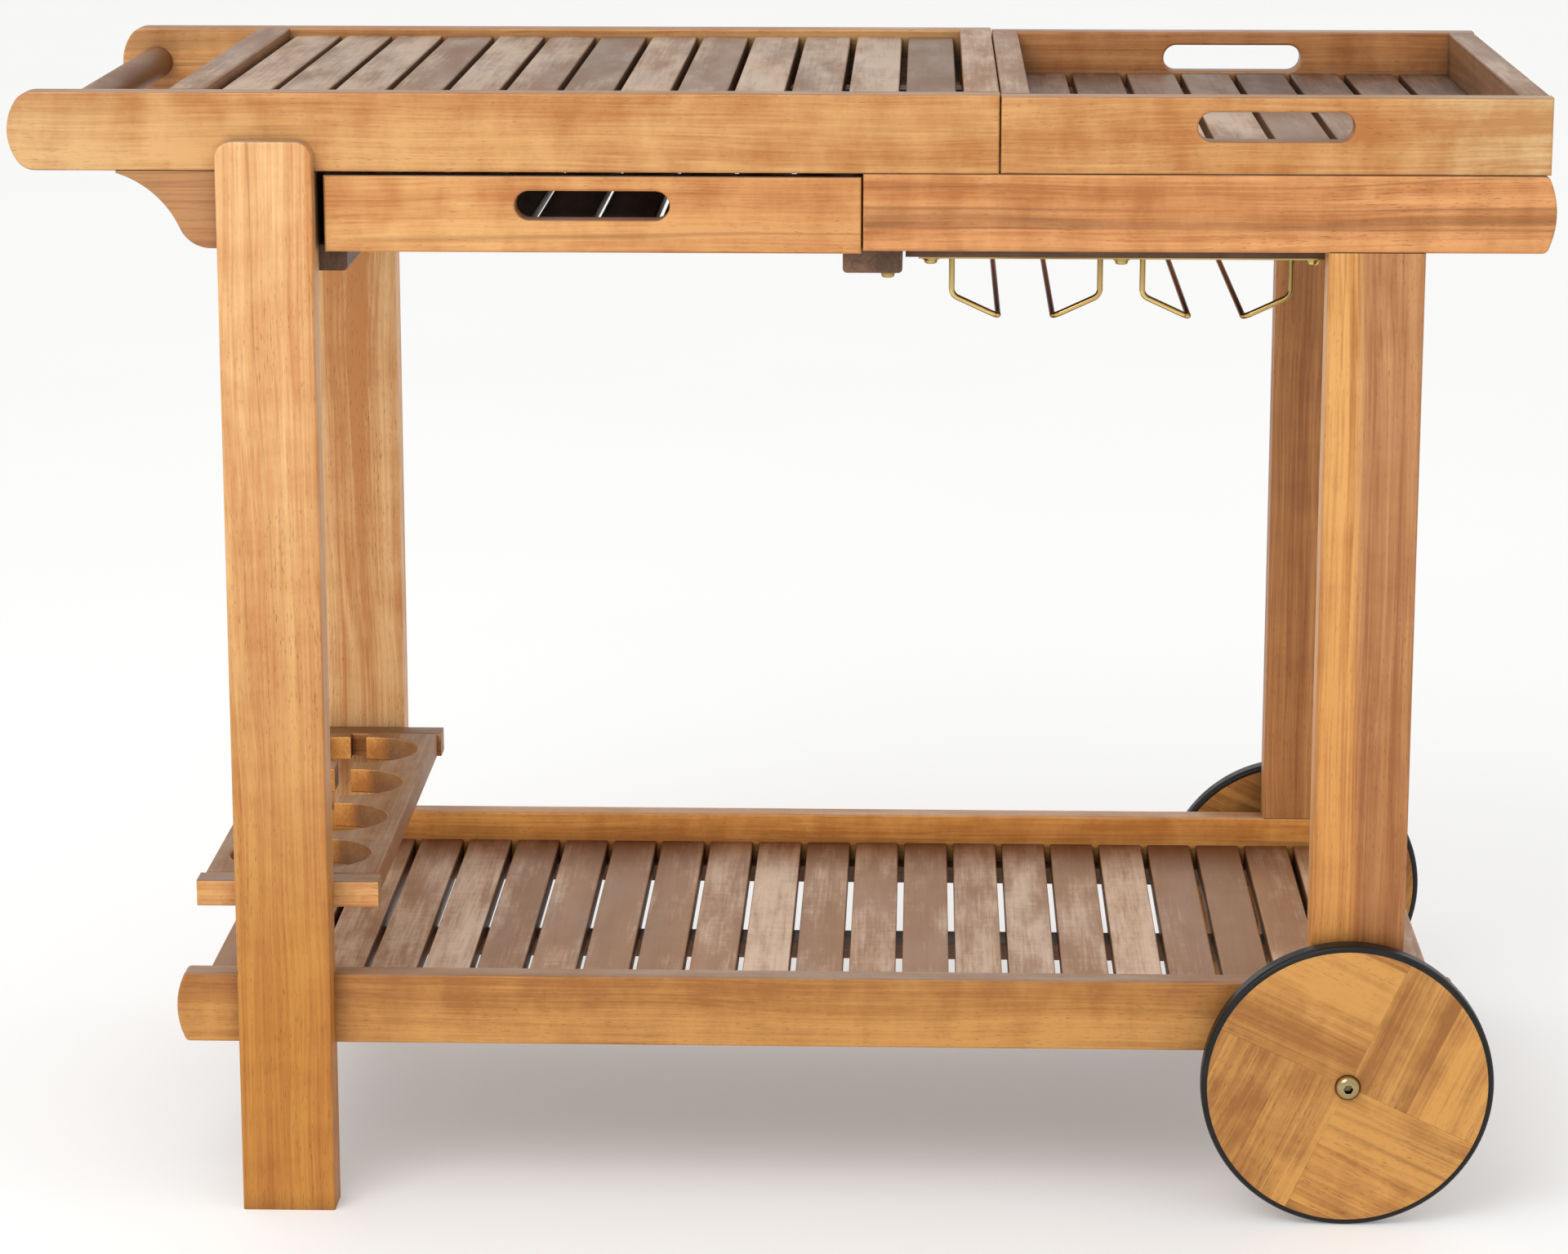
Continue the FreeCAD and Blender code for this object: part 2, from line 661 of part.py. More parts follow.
def bottle_rack():
    """Two scalloped half boards with a slot between them, held by a batten at each end."""
    board_left = "bottle_left + bottle_overhang"
    board_right = "left_leg_middle + bottle_slot / 2"
    straight = "(bottle_opening_length - bottle_opening_width - bottle_slot) / 2"
    for name, x, is_left in (("bottle_board_left", board_left, True),
                             ("bottle_board_right", board_right, False)):
        half = board(name, x, "-bottle_half", "bottle_bottom",
                     "bottle_board_width", "2 * bottle_half", "bottle_thickness")
        centre = f"bottle_board_width - {straight}" if is_left else straight
        first = "bottle_end_margin + bottle_opening_width / 2"
        scoop = cut_rod(half, centre, first, "0", "bottle_opening_width / 2", "bottle_thickness", "z")
        mouth = cut_box(half, centre if is_left else "0", f"{first} - bottle_opening_width / 2", "0",
                        straight, "bottle_opening_width", "bottle_thickness")
        row(half, "y", "bottle_count", "bottle_pitch", [scoop, mouth])
        round_edges(half, lambda edge: lies_across(edge, "z"), "bottle_edge")
    for side, name in ((FRONT, "bottle_front_batten"), (REAR, "bottle_rear_batten")):
        board(name, "bottle_left", face_y(side, "left_leg_inner", "bottle_batten_depth"),
              "bottle_bottom", "bottle_rack_width", "bottle_batten_depth", "bottle_thickness", "x")


def bent_wire(points, bend, radius):
    """A round wire along straight runs that tangent arcs join."""
    edges = []
    start = points[0]
    for before, corner, after in zip(points, points[1:], points[2:]):
        back = (before - corner).normalize()
        ahead = (after - corner).normalize()
        half_angle = back.getAngle(ahead) / 2
        reach = bend / math.tan(half_angle)
        depth = bend / math.sin(half_angle) - bend
        arc_start = corner + back * reach
        arc_end = corner + ahead * reach
        arc_middle = corner + (back + ahead).normalize() * depth
        edges.append(Part.LineSegment(start, arc_start).toShape())
        edges.append(Part.Arc(arc_start, arc_middle, arc_end).toShape())
        start = arc_end
    edges.append(Part.LineSegment(start, points[-1]).toShape())
    path = Part.Wire(edges)
    section = Part.Wire(Part.makeCircle(radius, points[0], points[1] - points[0]))
    wire = path.makePipeShell([section], True, False)
    expected = path.Length * math.pi * radius ** 2
    if abs(wire.Volume / expected - 1) > 0.01:
        raise RuntimeError(f"a bent wire has volume {wire.Volume:.0f}, not {expected:.0f}")
    return wire


def glass_wires():
    """Two wires to a channel: down from the front bar, inwards, along to the back, and up again."""
    half_spacing = value("glass_batten_spacing") / 2
    top = value("glass_bar_bottom")
    bend = top - value("glass_drop")
    rail = bend - value("glass_slope_drop")
    wires = []
    for channel in (-1, 1):
        middle = value("glass_middle") + channel * value("glass_pitch") / 2
        for hand in (-1, 1):
            outer = middle + hand * value("glass_channel_width") / 2
            inner = middle + hand * value("glass_slot") / 2
            down = [(outer, top), (outer, bend), (inner, rail)]
            points = [FreeCAD.Vector(x, -half_spacing, z) for x, z in down]
            points += [FreeCAD.Vector(x, half_spacing, z) for x, z in reversed(down)]
            wires.append(bent_wire(points, value("wire_bend_radius"), value("wire_diameter") / 2))
    feature = doc.addObject("Part::Feature", "glass_wires")
    feature.Shape = Part.makeCompound(wires)
    feature.Placement = FreeCAD.Placement()
    nodes.append(feature)


def stemware_rack():
    """Battens between the cross rails, brass bars below them, and the wires under the bars."""
    for side, where in ((FRONT, "front"), (REAR, "rear")):
        middle = f"{side} * glass_batten_spacing / 2"
        batten = board(f"glass_batten_{where}", "glass_batten_left", f"{middle} - glass_batten_width / 2",
                       "glass_batten_bottom", "glass_batten_length", "glass_batten_width",
                       "glass_batten_height")
        screw_row(batten, "glass_first_screw - glass_batten_left", "glass_batten_width / 2", "0",
                  "glass_screw_grip", "x", "glass_screw_count", "glass_pitch")
        bar = board(f"glass_bar_{where}", "glass_bar_left", f"{middle} - glass_bar_width / 2",
                    "glass_bar_bottom", "glass_bar_length", "glass_bar_width", "glass_bar_thickness")
        screw_row(bar, "glass_first_screw - glass_bar_left", "glass_bar_width / 2", "0",
                  "glass_bar_thickness", "x", "glass_screw_count", "glass_pitch")
    glass_wires()


def all_screws():
    """Washered screws under the runners and under the stemware rack's bars."""
    screws("runner_screws", "left_rail + cross_width / 2", "-runner_screw_spacing", "runner_bottom",
           "runner_height + screw_grip", (PAIR, "mid_rail - left_rail"),
           ("runner_screw_count", "runner_screw_spacing"))
    screws("glass_screws", "glass_first_screw", "-glass_batten_spacing / 2", "glass_bar_bottom",
           "glass_bar_thickness + glass_screw_grip", ("glass_screw_count", "glass_pitch"),
           (PAIR, "glass_batten_spacing"))


def wheels():
    """Each wheel: four wooden quadrants, a rubber tyre and a brass bush."""
    for side, where in ((FRONT, "front"), (REAR, "rear")):
        at = ("axle_x", "-wheel_outer" if side == FRONT else "wheel_inner", "wheel_radius")
        disc = new_body(f"wheel_disc_{where}", *at, grouped=True)
        quadrant = rod(disc, "0", "0", "0", "wood_radius", "wheel_thickness", "z")
        seam = FreeCAD.Rotation(FreeCAD.Vector(0, 0, 1), value("wheel_seam_angle"))
        quadrant.Placement = FreeCAD.Placement(FreeCAD.Vector(), seam)
        bind(quadrant, Angle="quadrant_angle")
        cut_rod(disc, "0", "0", "0", "bush_diameter / 2", "wheel_thickness", "z")
        doc.recompute()
        turns = disc.newObject("PartDesign::PolarPattern", f"{disc.Name}_quadrants")
        turns.TransformMode = "Whole shape"
        turns.Axis = (origin_feature(disc, "Z_Axis"), [""])
        turns.Angle = FULL_TURN
        bind(turns, Occurrences="quadrant_count")
        disc.Tip = turns

        tyre = new_body(f"tyre_{where}", *at)
        rod(tyre, "0", "0", "0", "wheel_radius", "wheel_thickness", "z")
        round_edges(tyre, lambda edge: lies_across(edge, "z"), "tyre_edge_radius")
        cut_rod(tyre, "0", "0", "0", "wood_radius", "wheel_thickness", "z")

        bush = new_body(f"bush_{where}", *at)
        rod(bush, "0", "0", "0", "bush_diameter / 2", "wheel_thickness", "z")
        cut_rod(bush, "0", "0", "0", "axle_diameter / 2 + fit_clearance", "wheel_thickness", "z")
        for body in (disc, tyre, bush):
            body.Placement = FreeCAD.Placement(body.Placement.Base, TURN_TO["y"])


def axles():
    """A domed bolt through each wheel and right leg, with a spacer outside the leg and a nut inside."""
    bolts = new_body("axle_bolts", grouped=True)
    head = "-head_under - bolt_head_height"
    rod(bolts, "axle_x", head, "wheel_radius", "bolt_head_diameter / 2", "bolt_head_height", "y")
    doc.recompute()
    outermost = bolts.Tip.Shape.BoundBox.YMin
    round_edges(bolts, lambda edge: edge.BoundBox.YMax < outermost + TOUCHING, "bolt_dome_radius")
    rod(bolts, "axle_x", "-head_under", "wheel_radius", "axle_diameter / 2", "head_under - bolt_end", "y")
    hexagon(bolts, "axle_x", head, "wheel_radius", "bolt_socket_radius", "bolt_socket_depth", "Subtractive")
    mirror_front_to_back(bolts)

    bore = "axle_diameter / 2 + fit_clearance"
    spacers = new_body("axle_spacers", grouped=True)
    start = "slide_clearance - wheel_inner"
    rod(spacers, "axle_x", start, "wheel_radius", "spacer_diameter / 2", "wheel_gap - slide_clearance", "y")
    cut_rod(spacers, "axle_x", start, "wheel_radius", bore, "wheel_gap", "y")
    mirror_front_to_back(spacers)

    nuts = new_body("axle_nuts", grouped=True)
    hexagon(nuts, "axle_x", "-right_leg_inner", "wheel_radius", "nut_radius", "nut_height", "Additive")
    cut_rod(nuts, "axle_x", "-right_leg_inner", "wheel_radius", bore, "nut_height", "y")
    mirror_front_to_back(nuts)


def drawer():
    """A front with a hand hold, sides, back and a slatted bottom on two ledgers."""
    front = board("drawer_front", "drawer_left", "-rail_face", "drawer_front_bottom",
                  "drawer_length", "board_thickness", "drawer_front_height", "xz")
    hand_slot(front, "drawer_length", "drawer_front_height")
    for name, x in (("drawer_side_left", "drawer_left + drawer_side_inset"),
                    ("drawer_side_right", "drawer_right - drawer_side_inset - drawer_side_thickness")):
        board(name, x, "-rail_inner", "drawer_bottom",
              "drawer_side_thickness", "drawer_depth - board_thickness", "drawer_side_height", "y")
    board("drawer_back", "drawer_inner_left", "drawer_back", "drawer_bottom",
          "drawer_inner_length", "drawer_side_thickness", "drawer_side_height", "x")
    slat_set("drawer_slats", "drawer_inner_left", "-rail_inner", "drawer_bottom + drawer_cleat_height",
             "drawer_slat_pitch", "drawer_back + rail_inner", "drawer_slat_thickness", "drawer_slat_count")
    cleats = new_body("drawer_slat_cleats", "drawer_inner_left", "-rail_inner", "drawer_bottom", True)
    box(cleats, "0", "0", "0", "drawer_inner_length", "drawer_cleat_width", "drawer_cleat_height")
    row(cleats, "y", PAIR, "drawer_back + rail_inner - drawer_cleat_width")


def tray():
    """Four boards, hand holds in the long ones, and a slatted floor on two ledgers."""
    for side, name in ((FRONT, "tray_front"), (REAR, "tray_back")):
        long_board = board(name, "tray_left", face_y(side, "rail_face", "board_thickness"), "tray_bottom",
                           "tray_length", "board_thickness", "tray_height", "xz")
        hand_slot(long_board, "tray_length", "tray_height")
    for name, x in (("tray_side_left", "tray_left"),
                    ("tray_side_right", "tray_left + tray_length - board_thickness")):
        board(name, x, "-rail_inner", "tray_bottom",
              "board_thickness", "2 * rail_inner", "tray_height", "y")
    slat_set("tray_slats", "tray_inner_left", "-rail_inner", "tray_slat_bottom",
             "tray_slat_pitch", "2 * rail_inner", "tray_slat_thickness", "tray_slat_count")
    cleat_pair("tray_slat_cleats", "tray_inner_left", "tray_slat_bottom - tray_cleat_height",
               "tray_inner_length", "rail_inner", "tray_cleat_width", "tray_cleat_height")


def check_and_write():
    """Checks every object, then writes each sub-part to its own file."""
    doc.recompute()
    for item in doc.Objects:
        if {"Invalid", "Error"} & set(item.State):
            raise RuntimeError(f"{item.Label} failed: {item.State}")
    for node in nodes:
        if node.Shape.isNull() or not node.Shape.isValid():
            raise RuntimeError(f"{node.Label} has no valid shape")
    os.makedirs("parts", exist_ok=True)
    for node in nodes:
        node.Shape.exportStep(f"parts/{node.Label}.step")
        print(f"{node.Label}: {len(node.Shape.Solids)} solid(s), {node.Shape.Volume / 1000:.1f} cm3")


def main():
    """Builds every sub-part, checks them and writes them."""
    top_deck()
    underframe()
    legs()
    shelf()
    bottle_rack()
    stemware_rack()
    all_screws()
    wheels()
    axles()
    drawer()
    tray()
    check_and_write()


main()
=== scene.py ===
"""Looks of a wooden tea trolley: oiled hardwood, brass fittings, rubber tyres and a plain studio.

Every length is in metres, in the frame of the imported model: X along the trolley, away from the
handle, Y from the front to the back, Z up, with the floor at zero.
"""
from __future__ import annotations

import logging
import math
from dataclasses import dataclass, field, replace
from enum import Enum
from typing import Dict, List, Optional, Sequence, Tuple, Union

import bpy
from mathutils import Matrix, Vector

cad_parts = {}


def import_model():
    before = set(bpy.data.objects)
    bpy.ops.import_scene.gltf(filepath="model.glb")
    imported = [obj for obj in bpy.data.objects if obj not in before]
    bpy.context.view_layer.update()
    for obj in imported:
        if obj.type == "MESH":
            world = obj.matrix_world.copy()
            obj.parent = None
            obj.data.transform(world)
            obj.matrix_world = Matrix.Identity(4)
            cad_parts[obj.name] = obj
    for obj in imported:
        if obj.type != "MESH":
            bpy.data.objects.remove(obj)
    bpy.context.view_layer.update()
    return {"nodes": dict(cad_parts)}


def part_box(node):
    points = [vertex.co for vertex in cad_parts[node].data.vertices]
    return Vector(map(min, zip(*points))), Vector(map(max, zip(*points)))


LOG = logging.getLogger("tea_trolley")

Triple = Tuple[float, float, float]
Colour = Tuple[float, float, float, float]
Socket = bpy.types.NodeSocket
Sockets = Dict[str, Socket]
Feed = Union[Socket, float, Sequence[float]]

WHITE: Colour = (1.0, 1.0, 1.0, 1.0)
# Smooth noise and chance both run from 0 to 1, so this is their middle.
MIDDLE = 0.5
# How far apart in the log the pieces of one node may be cut, and how far a board is from the next.
CUT_APART: Triple = (5.0, 3.0, 3.0)
BOARD_STEP: Triple = (1.37, 0.71, 0.43)
QUARTER_TURN = math.pi / 2


def srgb(red: int, green: int, blue: int) -> Colour:
    """A display colour, from 0 to 255 a channel, as a linear colour.

    Args:
        red: Display value of red.
        green: Display value of green.
        blue: Display value of blue.

    Returns:
        Linear red, green, blue and an alpha of one.
    """
    def linear(value: int) -> float:
        """One channel without the display curve."""
        share = value / 255
        return share / 12.92 if share <= 0.04045 else ((share + 0.055) / 1.055) ** 2.4
    return (linear(red), linear(green), linear(blue), 1.0)


class GrainAxis(Enum):
    """The direction that a board's fibres run in: the order that brings it to the first place."""

    LENGTH = ("X", "Y", "Z")
    DEPTH = ("Y", "X", "Z")
    HEIGHT = ("Z", "X", "Y")


@dataclass(frozen=True)
class Wave:
    """Smooth noise: waves per metre along each axis, how many finer layers it has, and their strength."""

    stretch: Triple
    detail: float = 2.0
    roughness: float = 0.55


@dataclass(frozen=True)
class Ramp:
    """A range of values, and what its ends become."""

    low: float
    high: float
    to_low: float = 0.0
    to_high: float = 1.0


class Graph:
    """Short calls for building a node tree."""

    def __init__(self, tree: bpy.types.NodeTree) -> None:
        """Keeps the tree that the nodes go into."""
        self.tree = tree

    def feed(self, socket: Socket, source: Feed) -> None:
        """Links a socket to another, or sets its value.

        Args:
            socket: The socket that takes it.
            source: Another node's output, a number or a colour.
        """
        if isinstance(source, bpy.types.NodeSocket):
            self.tree.links.new(source, socket)
        else:
            socket.default_value = source

    def add(self, kind: str, feeds: Optional[Dict[Union[str, int], Feed]] = None, **settings: object
            ) -> bpy.types.Node:
        """Adds a node.

        Args:
            kind: Blender's name of the node type.
            feeds: What goes into its sockets, by name or number.
            **settings: Its own properties.

        Returns:
            The new node.
        """
        node = self.tree.nodes.new(kind)
        for name, setting in settings.items():
            setattr(node, name, setting)
        for name, source in (feeds or {}).items():
            self.feed(node.inputs[name], source)
        return node

    def math(self, operation: str, first: Feed, second: Feed = 0.0) -> Socket:
        """A sum, product or other operation on two values."""
        return self.add("ShaderNodeMath", {0: first, 1: second}, operation=operation).outputs[0]

    def scale(self, value: Feed, factor: Feed, shift: Feed) -> Socket:
        """A value times a factor, plus a shift."""
        feeds = {0: value, 1: factor, 2: shift}
        return self.add("ShaderNodeMath", feeds, operation="MULTIPLY_ADD").outputs[0]

    def vector(self, operation: str, first: Feed, second: Feed) -> Socket:
        """An operation on two vectors."""
        return self.add("ShaderNodeVectorMath", {0: first, 1: second}, operation=operation).outputs[0]

    def join(self, x: Feed, y: Feed, z: Feed) -> Socket:
        """A vector of three values."""
        return self.add("ShaderNodeCombineXYZ", {0: x, 1: y, 2: z}).outputs[0]

    def split(self, vector: Feed) -> Sockets:
        """The three values of a vector, by axis."""
        node = self.add("ShaderNodeSeparateXYZ", {0: vector})
        return {axis: node.outputs[axis] for axis in "XYZ"}

    def noise(self, vector: Feed, wave: Wave) -> Socket:
        """Smooth noise from 0 to 1.

        Args:
            vector: The place.
            wave: The noise's size and detail.

        Returns:
            The value at that place.
        """
        place = self.vector("MULTIPLY", vector, wave.stretch)
        feeds = {"Vector": place, "Scale": 1.0, "Detail": wave.detail, "Roughness": wave.roughness}
        return self.add("ShaderNodeTexNoise", feeds).outputs[0]

    def swing(self, vector: Feed, wave: Wave) -> Socket:
        """Smooth noise about zero."""
        return self.math("SUBTRACT", self.noise(vector, wave), MIDDLE)

    def chance(self, number: Feed) -> bpy.types.Node:
        """A node with a value and a colour by chance, the same for the same number."""
        return self.add("ShaderNodeTexWhiteNoise", {"W": number}, noise_dimensions="1D")

    def remap(self, value: Feed, ramp: Ramp) -> Socket:
        """A value from one range brought to another, with soft ends.

        Args:
            value: The value.
            ramp: The range, and what its ends become.

        Returns:
            The new value, held at the ends outside the range.
        """
        feeds = {"Value": value, "From Min": ramp.low, "From Max": ramp.high, "To Min": ramp.to_low,
                 "To Max": ramp.to_high}
        return self.add("ShaderNodeMapRange", feeds, interpolation_type="SMOOTHSTEP").outputs[0]

    def blend(self, factor: Feed, first: Feed, second: Feed, kind: str = "MIX") -> Socket:
        """Two colours mixed.

        Args:
            factor: How much of the second colour there is.
            first: The first colour.
            second: The second colour.
            kind: Blender's name of the way to mix.

        Returns:
            The mixed colour.
        """
        node = self.add("ShaderNodeMix", data_type="RGBA", blend_type=kind)
        # The node also has sockets of the same names for values and vectors: these are the enabled ones.
        inputs = {socket.name: socket for socket in node.inputs if socket.enabled}
        for name, source in (("Factor", factor), ("A", first), ("B", second)):
            self.feed(inputs[name], source)
        return next(socket for socket in node.outputs if socket.enabled)

    def brighten(self, colour: Feed, factor: Feed) -> Socket:
        """A colour times a value."""
        return self.vector("MULTIPLY", colour, self.join(factor, factor, factor))


class Surface(Graph):
    """The node tree of a new material, with its one shader."""

    corner_samples = 4

    def __init__(self, name: str) -> None:
        """Makes the material with a plain shader.

        Args:
            name: The material's name.
        """
        self.material = bpy.data.materials.new(name)
        self.material.use_nodes = True
        super().__init__(self.material.node_tree)
        self.shader = self.tree.nodes["Principled BSDF"]

    def paint(self, name: str, source: Feed) -> None:
        """Feeds one of the shader's sockets."""
        self.feed(self.shader.inputs[name], source)

    def place(self) -> Socket:
        """The place in the frame of the model."""
        return self.add("ShaderNodeTexCoord").outputs["Object"]

    def openness(self, reach: float) -> Socket:
        """How open a spot is, from 0 in a deep corner to 1, with walls up to the reach counted."""
        node = self.add("ShaderNodeAmbientOcclusion", {"Distance": reach}, samples=self.corner_samples)
        return node.outputs["AO"]

    def emboss(self, height: Feed, strength: float, distance: float) -> None:
        """Gives the surface fine relief.

        Args:
            height: The relief, from low to high.
            strength: How much of it shows.
            distance: The height's real size.
        """
        feeds = {"Strength": strength, "Distance": distance, "Height": height}
        self.paint("Normal", self.add("ShaderNodeBump", feeds).outputs[0])


class EffectGroup:
    """A shader node group that several finishes share. It is built once."""

    title = ""
    inputs: Tuple[Tuple[str, str], ...] = ()
    outputs: Tuple[Tuple[str, str], ...] = ()

    def __init__(self) -> None:
        """Makes the group's sockets and calls for its nodes."""
        self.tree = bpy.data.node_groups.new(self.title, "ShaderNodeTree")
        for direction, sockets in (("INPUT", self.inputs), ("OUTPUT", self.outputs)):
            for name, kind in sockets:
                self.tree.interface.new_socket(name, in_out=direction, socket_type=f"NodeSocket{kind}")
        graph = Graph(self.tree)
        source = graph.add("NodeGroupInput")
        results = self.build(graph, {name: source.outputs[name] for name, _ in self.inputs})
        graph.add("NodeGroupOutput", results)

    def build(self, graph: Graph, given: Sockets) -> Sockets:
        """Makes the group's nodes.

        Args:
            graph: The group's tree.
            given: Its inputs by name.

        Returns:
            What goes to each output.
        """
        raise NotImplementedError

    def place(self, graph: Graph, **feeds: Feed) -> Sockets:
        """Puts the group into a material.

        Args:
            graph: The material's tree.
            **feeds: What goes into its inputs.

        Returns:
            Its outputs by name.
        """
        node = graph.add("ShaderNodeGroup", node_tree=self.tree)
        for name, source in feeds.items():
            graph.feed(node.inputs[name], source)
        return {name: node.outputs[name] for name, _ in self.outputs}


class WoodGrain(EffectGroup):
    """Bands, lines, fibres, blotches, veins, pores and knots of a board whose fibres run along X."""

    title = "Wood grain"
    inputs = (("Vector", "Vector"), ("Pale", "Color"), ("Deep", "Color"), ("Bands", "Float"),
              ("Lines", "Float"), ("Fibre", "Float"), ("Mottle", "Float"), ("Veins", "Float"))
    outputs = (("Color", "Color"), ("Height", "Float"))

    sway = Wave((1.8, 7.0, 7.0))
    sway_reach = 0.03
    bands = Wave((0.6, 26.0, 26.0))
    lines = Wave((0.9, 130.0, 130.0), detail=3.0, roughness=0.6)
    fibres = Wave((9.0, 560.0, 560.0), roughness=0.6)
    fibre_height = 0.6
    blotches = Wave((38.0, 24.0, 24.0), detail=4.0, roughness=0.6)
    dark_share = 0.42
    strands = Wave((0.5, 34.0, 34.0), detail=1.0)
    strand_edge = Ramp(0.0, 0.02, 0.5, 0.0)
    veined_parts = Wave((1.5, 6.0, 6.0))
    veined_edge = Ramp(0.5, 0.64)
    pores = Wave((140.0, 1100.0, 1100.0), detail=1.0)
    pore_edge = Ramp(0.6, 0.76)
    porous_parts = Wave((7.0, 18.0, 18.0))
    porous_edge = Ramp(0.35, 0.65, 0.2, 0.6)
    knot_cells: Triple = (11.0, 14.0, 14.0)
    knot_rarity = 0.95
    knot_rim = Ramp(0.03, 0.1, 0.8, 0.0)

    def build(self, graph: Graph, given: Sockets) -> Sockets:
        """Mixes the pale and deep colours by the figure, then darkens veins, pores and knots.

        Args:
            graph: The group's tree.
            given: Its inputs by name.

        Returns:
            The wood's colour and the relief of its fibres and pores.
        """
        place = given["Vector"]
        sway = graph.scale(graph.noise(place, self.sway), self.sway_reach, -self.sway_reach / 2)
        wavy = graph.vector("ADD", place, graph.join(0.0, sway, sway))
        fibre = graph.noise(wavy, self.fibres)
        layers = (("Bands", graph.noise(wavy, self.bands)),
                  ("Lines", graph.noise(wavy, self.lines)),
                  ("Fibre", fibre),
                  ("Mottle", graph.noise(place, self.blotches)))
        tone: Feed = MIDDLE
        for amount, wave in layers:
            tone = graph.scale(graph.math("SUBTRACT", wave, MIDDLE), given[amount], tone)
        colour = graph.blend(tone, given["Pale"], given["Deep"])
        dark = graph.brighten(given["Deep"], self.dark_share)
        pores = graph.remap(graph.noise(place, self.pores), self.pore_edge)
        porous = graph.remap(graph.noise(place, self.porous_parts), self.porous_edge)
        marks = (graph.math("MULTIPLY", self.vein_mask(graph, place, wavy), given["Veins"]),
                 graph.math("MULTIPLY", pores, porous),
                 self.knot_mask(graph, place))
        for mark in marks:
            colour = graph.blend(mark, colour, dark)
        relief = graph.math("SUBTRACT", graph.math("MULTIPLY", fibre, self.fibre_height), pores)
        return {"Color": colour, "Height": relief}

    def vein_mask(self, graph: Graph, place: Feed, wavy: Feed) -> Socket:
        """Thin dark veins, in some parts of the wood only.

        Args:
            graph: The group's tree.
            place: The place in the wood.
            wavy: The same place, swaying with the fibres.

        Returns:
            A mask of the veins.
        """
        strand = graph.math("ABSOLUTE", graph.swing(wavy, self.strands))
        veined = graph.remap(graph.noise(place, self.veined_parts), self.veined_edge)
        return graph.math("MULTIPLY", graph.remap(strand, self.strand_edge), veined)

    def knot_mask(self, graph: Graph, place: Feed) -> Socket:
        """A few small knots with soft rims.

        Args:
            graph: The group's tree.
            place: The place in the wood.

        Returns:
            A mask of the knots.
        """
        cell_place = graph.vector("MULTIPLY", place, self.knot_cells)
        cells = graph.add("ShaderNodeTexVoronoi", {"Vector": cell_place, "Scale": 1.0})
        chosen = graph.math("GREATER_THAN", graph.split(cells.outputs["Color"])["X"], self.knot_rarity)
        return graph.math("MULTIPLY", graph.remap(cells.outputs["Distance"], self.knot_rim), chosen)


class WearSheenAndShade(EffectGroup):
    """Greying on the faces that look up, pale patches there that are partly wear and partly painted sheen,
    and painted shade on the side faces where asked.
    """

    title = "Wear, sheen and shade"
    inputs = (("Color", "Color"), ("Vector", "Vector"), ("Worn", "Color"), ("RubbedAndSheen", "Color"),
              ("Wear", "Float"), ("Streaks", "Float"), ("Tone", "Float"), ("SideShade", "Float"))
    outputs = (("Color", "Color"),)

    top_edge = Ramp(0.55, 0.95)
    shaded_side_edge = Ramp(0.08, 0.4)
    worn_or_shade_share = 0.75
    tone_share = 0.13
    clouds = Wave((9.0, 40.0, 40.0), detail=6.0, roughness=0.66)
    broad_patches = Wave((2.4, 12.0, 12.0), roughness=0.5)
    scuffs = Wave((12.0, 420.0, 420.0), detail=3.0, roughness=0.65)
    cross_scuffs = Wave((190.0, 34.0, 34.0), detail=4.0, roughness=0.7)
    rubbing_and_sheen = ((0.44, clouds), (0.3, broad_patches), (0.18, scuffs), (0.08, cross_scuffs))
    rubbed_and_sheen_edge = Ramp(0.44, 0.62)

    def build(self, graph: Graph, given: Sockets) -> Sockets:
        """Mixes the worn colour in on top and as painted shade on side faces, then pale patches of wear and
        painted sheen.

        Args:
            graph: The group's tree.
            given: Its inputs by name.

        Returns:
            The worn wood's colour.
        """
        facing = graph.split(graph.add("ShaderNodeNewGeometry").outputs["Normal"])
        top = graph.remap(facing["Z"], self.top_edge)
        # Painted shade: faces that look along X take the worn colour where asked, as if in shadow.
        side = graph.remap(graph.math("ABSOLUTE", facing["X"]), self.shaded_side_edge)
        worn_or_shaded = graph.math("MAXIMUM", top, graph.math("MULTIPLY", side, given["SideShade"]))
        aged_or_shaded = graph.blend(self.worn_or_shade_share, given["Color"], given["Worn"])
        colour = graph.blend(graph.math("MULTIPLY", worn_or_shaded, given["Wear"]), given["Color"], aged_or_shaded)
        layers: Feed = graph.scale(given["Tone"], self.tone_share, -self.tone_share / 2)
        for share, wave in self.rubbing_and_sheen:
            layers = graph.scale(graph.noise(given["Vector"], wave), share, layers)
        # Pale patches on the tops, partly wear and partly painted sheen.
        rubbed_and_sheen = graph.math("MULTIPLY", graph.remap(layers, self.rubbed_and_sheen_edge), top)
        mask = graph.math("MULTIPLY", rubbed_and_sheen, given["Streaks"])
        return {"Color": graph.blend(mask, colour, given["RubbedAndSheen"])}


class SlatLanes(EffectGroup):
    """Gives each slat of a row its own stretch of wood and its own tone."""

    title = "Slat lanes"
    inputs = (("Vector", "Vector"), ("Start", "Float"), ("Pitch", "Float"), ("Seed", "Float"))
    outputs = (("Vector", "Vector"), ("Tone", "Float"))

    def build(self, graph: Graph, given: Sockets) -> Sockets:
        """Numbers the slats across the fibres and shifts the wood by chance.

        Args:
            graph: The group's tree.
            given: Its inputs by name.

        Returns:
            The place in the slat's own wood, and its tone.
        """
        across = graph.math("SUBTRACT", graph.split(given["Vector"])["Y"], given["Start"])
        lane = graph.math("FLOOR", graph.math("DIVIDE", across, given["Pitch"]))
        chance = graph.chance(graph.math("ADD", lane, given["Seed"]))
        shift = graph.vector("MULTIPLY", chance.outputs["Color"], CUT_APART)
        return {"Vector": graph.vector("ADD", given["Vector"], shift), "Tone": chance.outputs["Value"]}


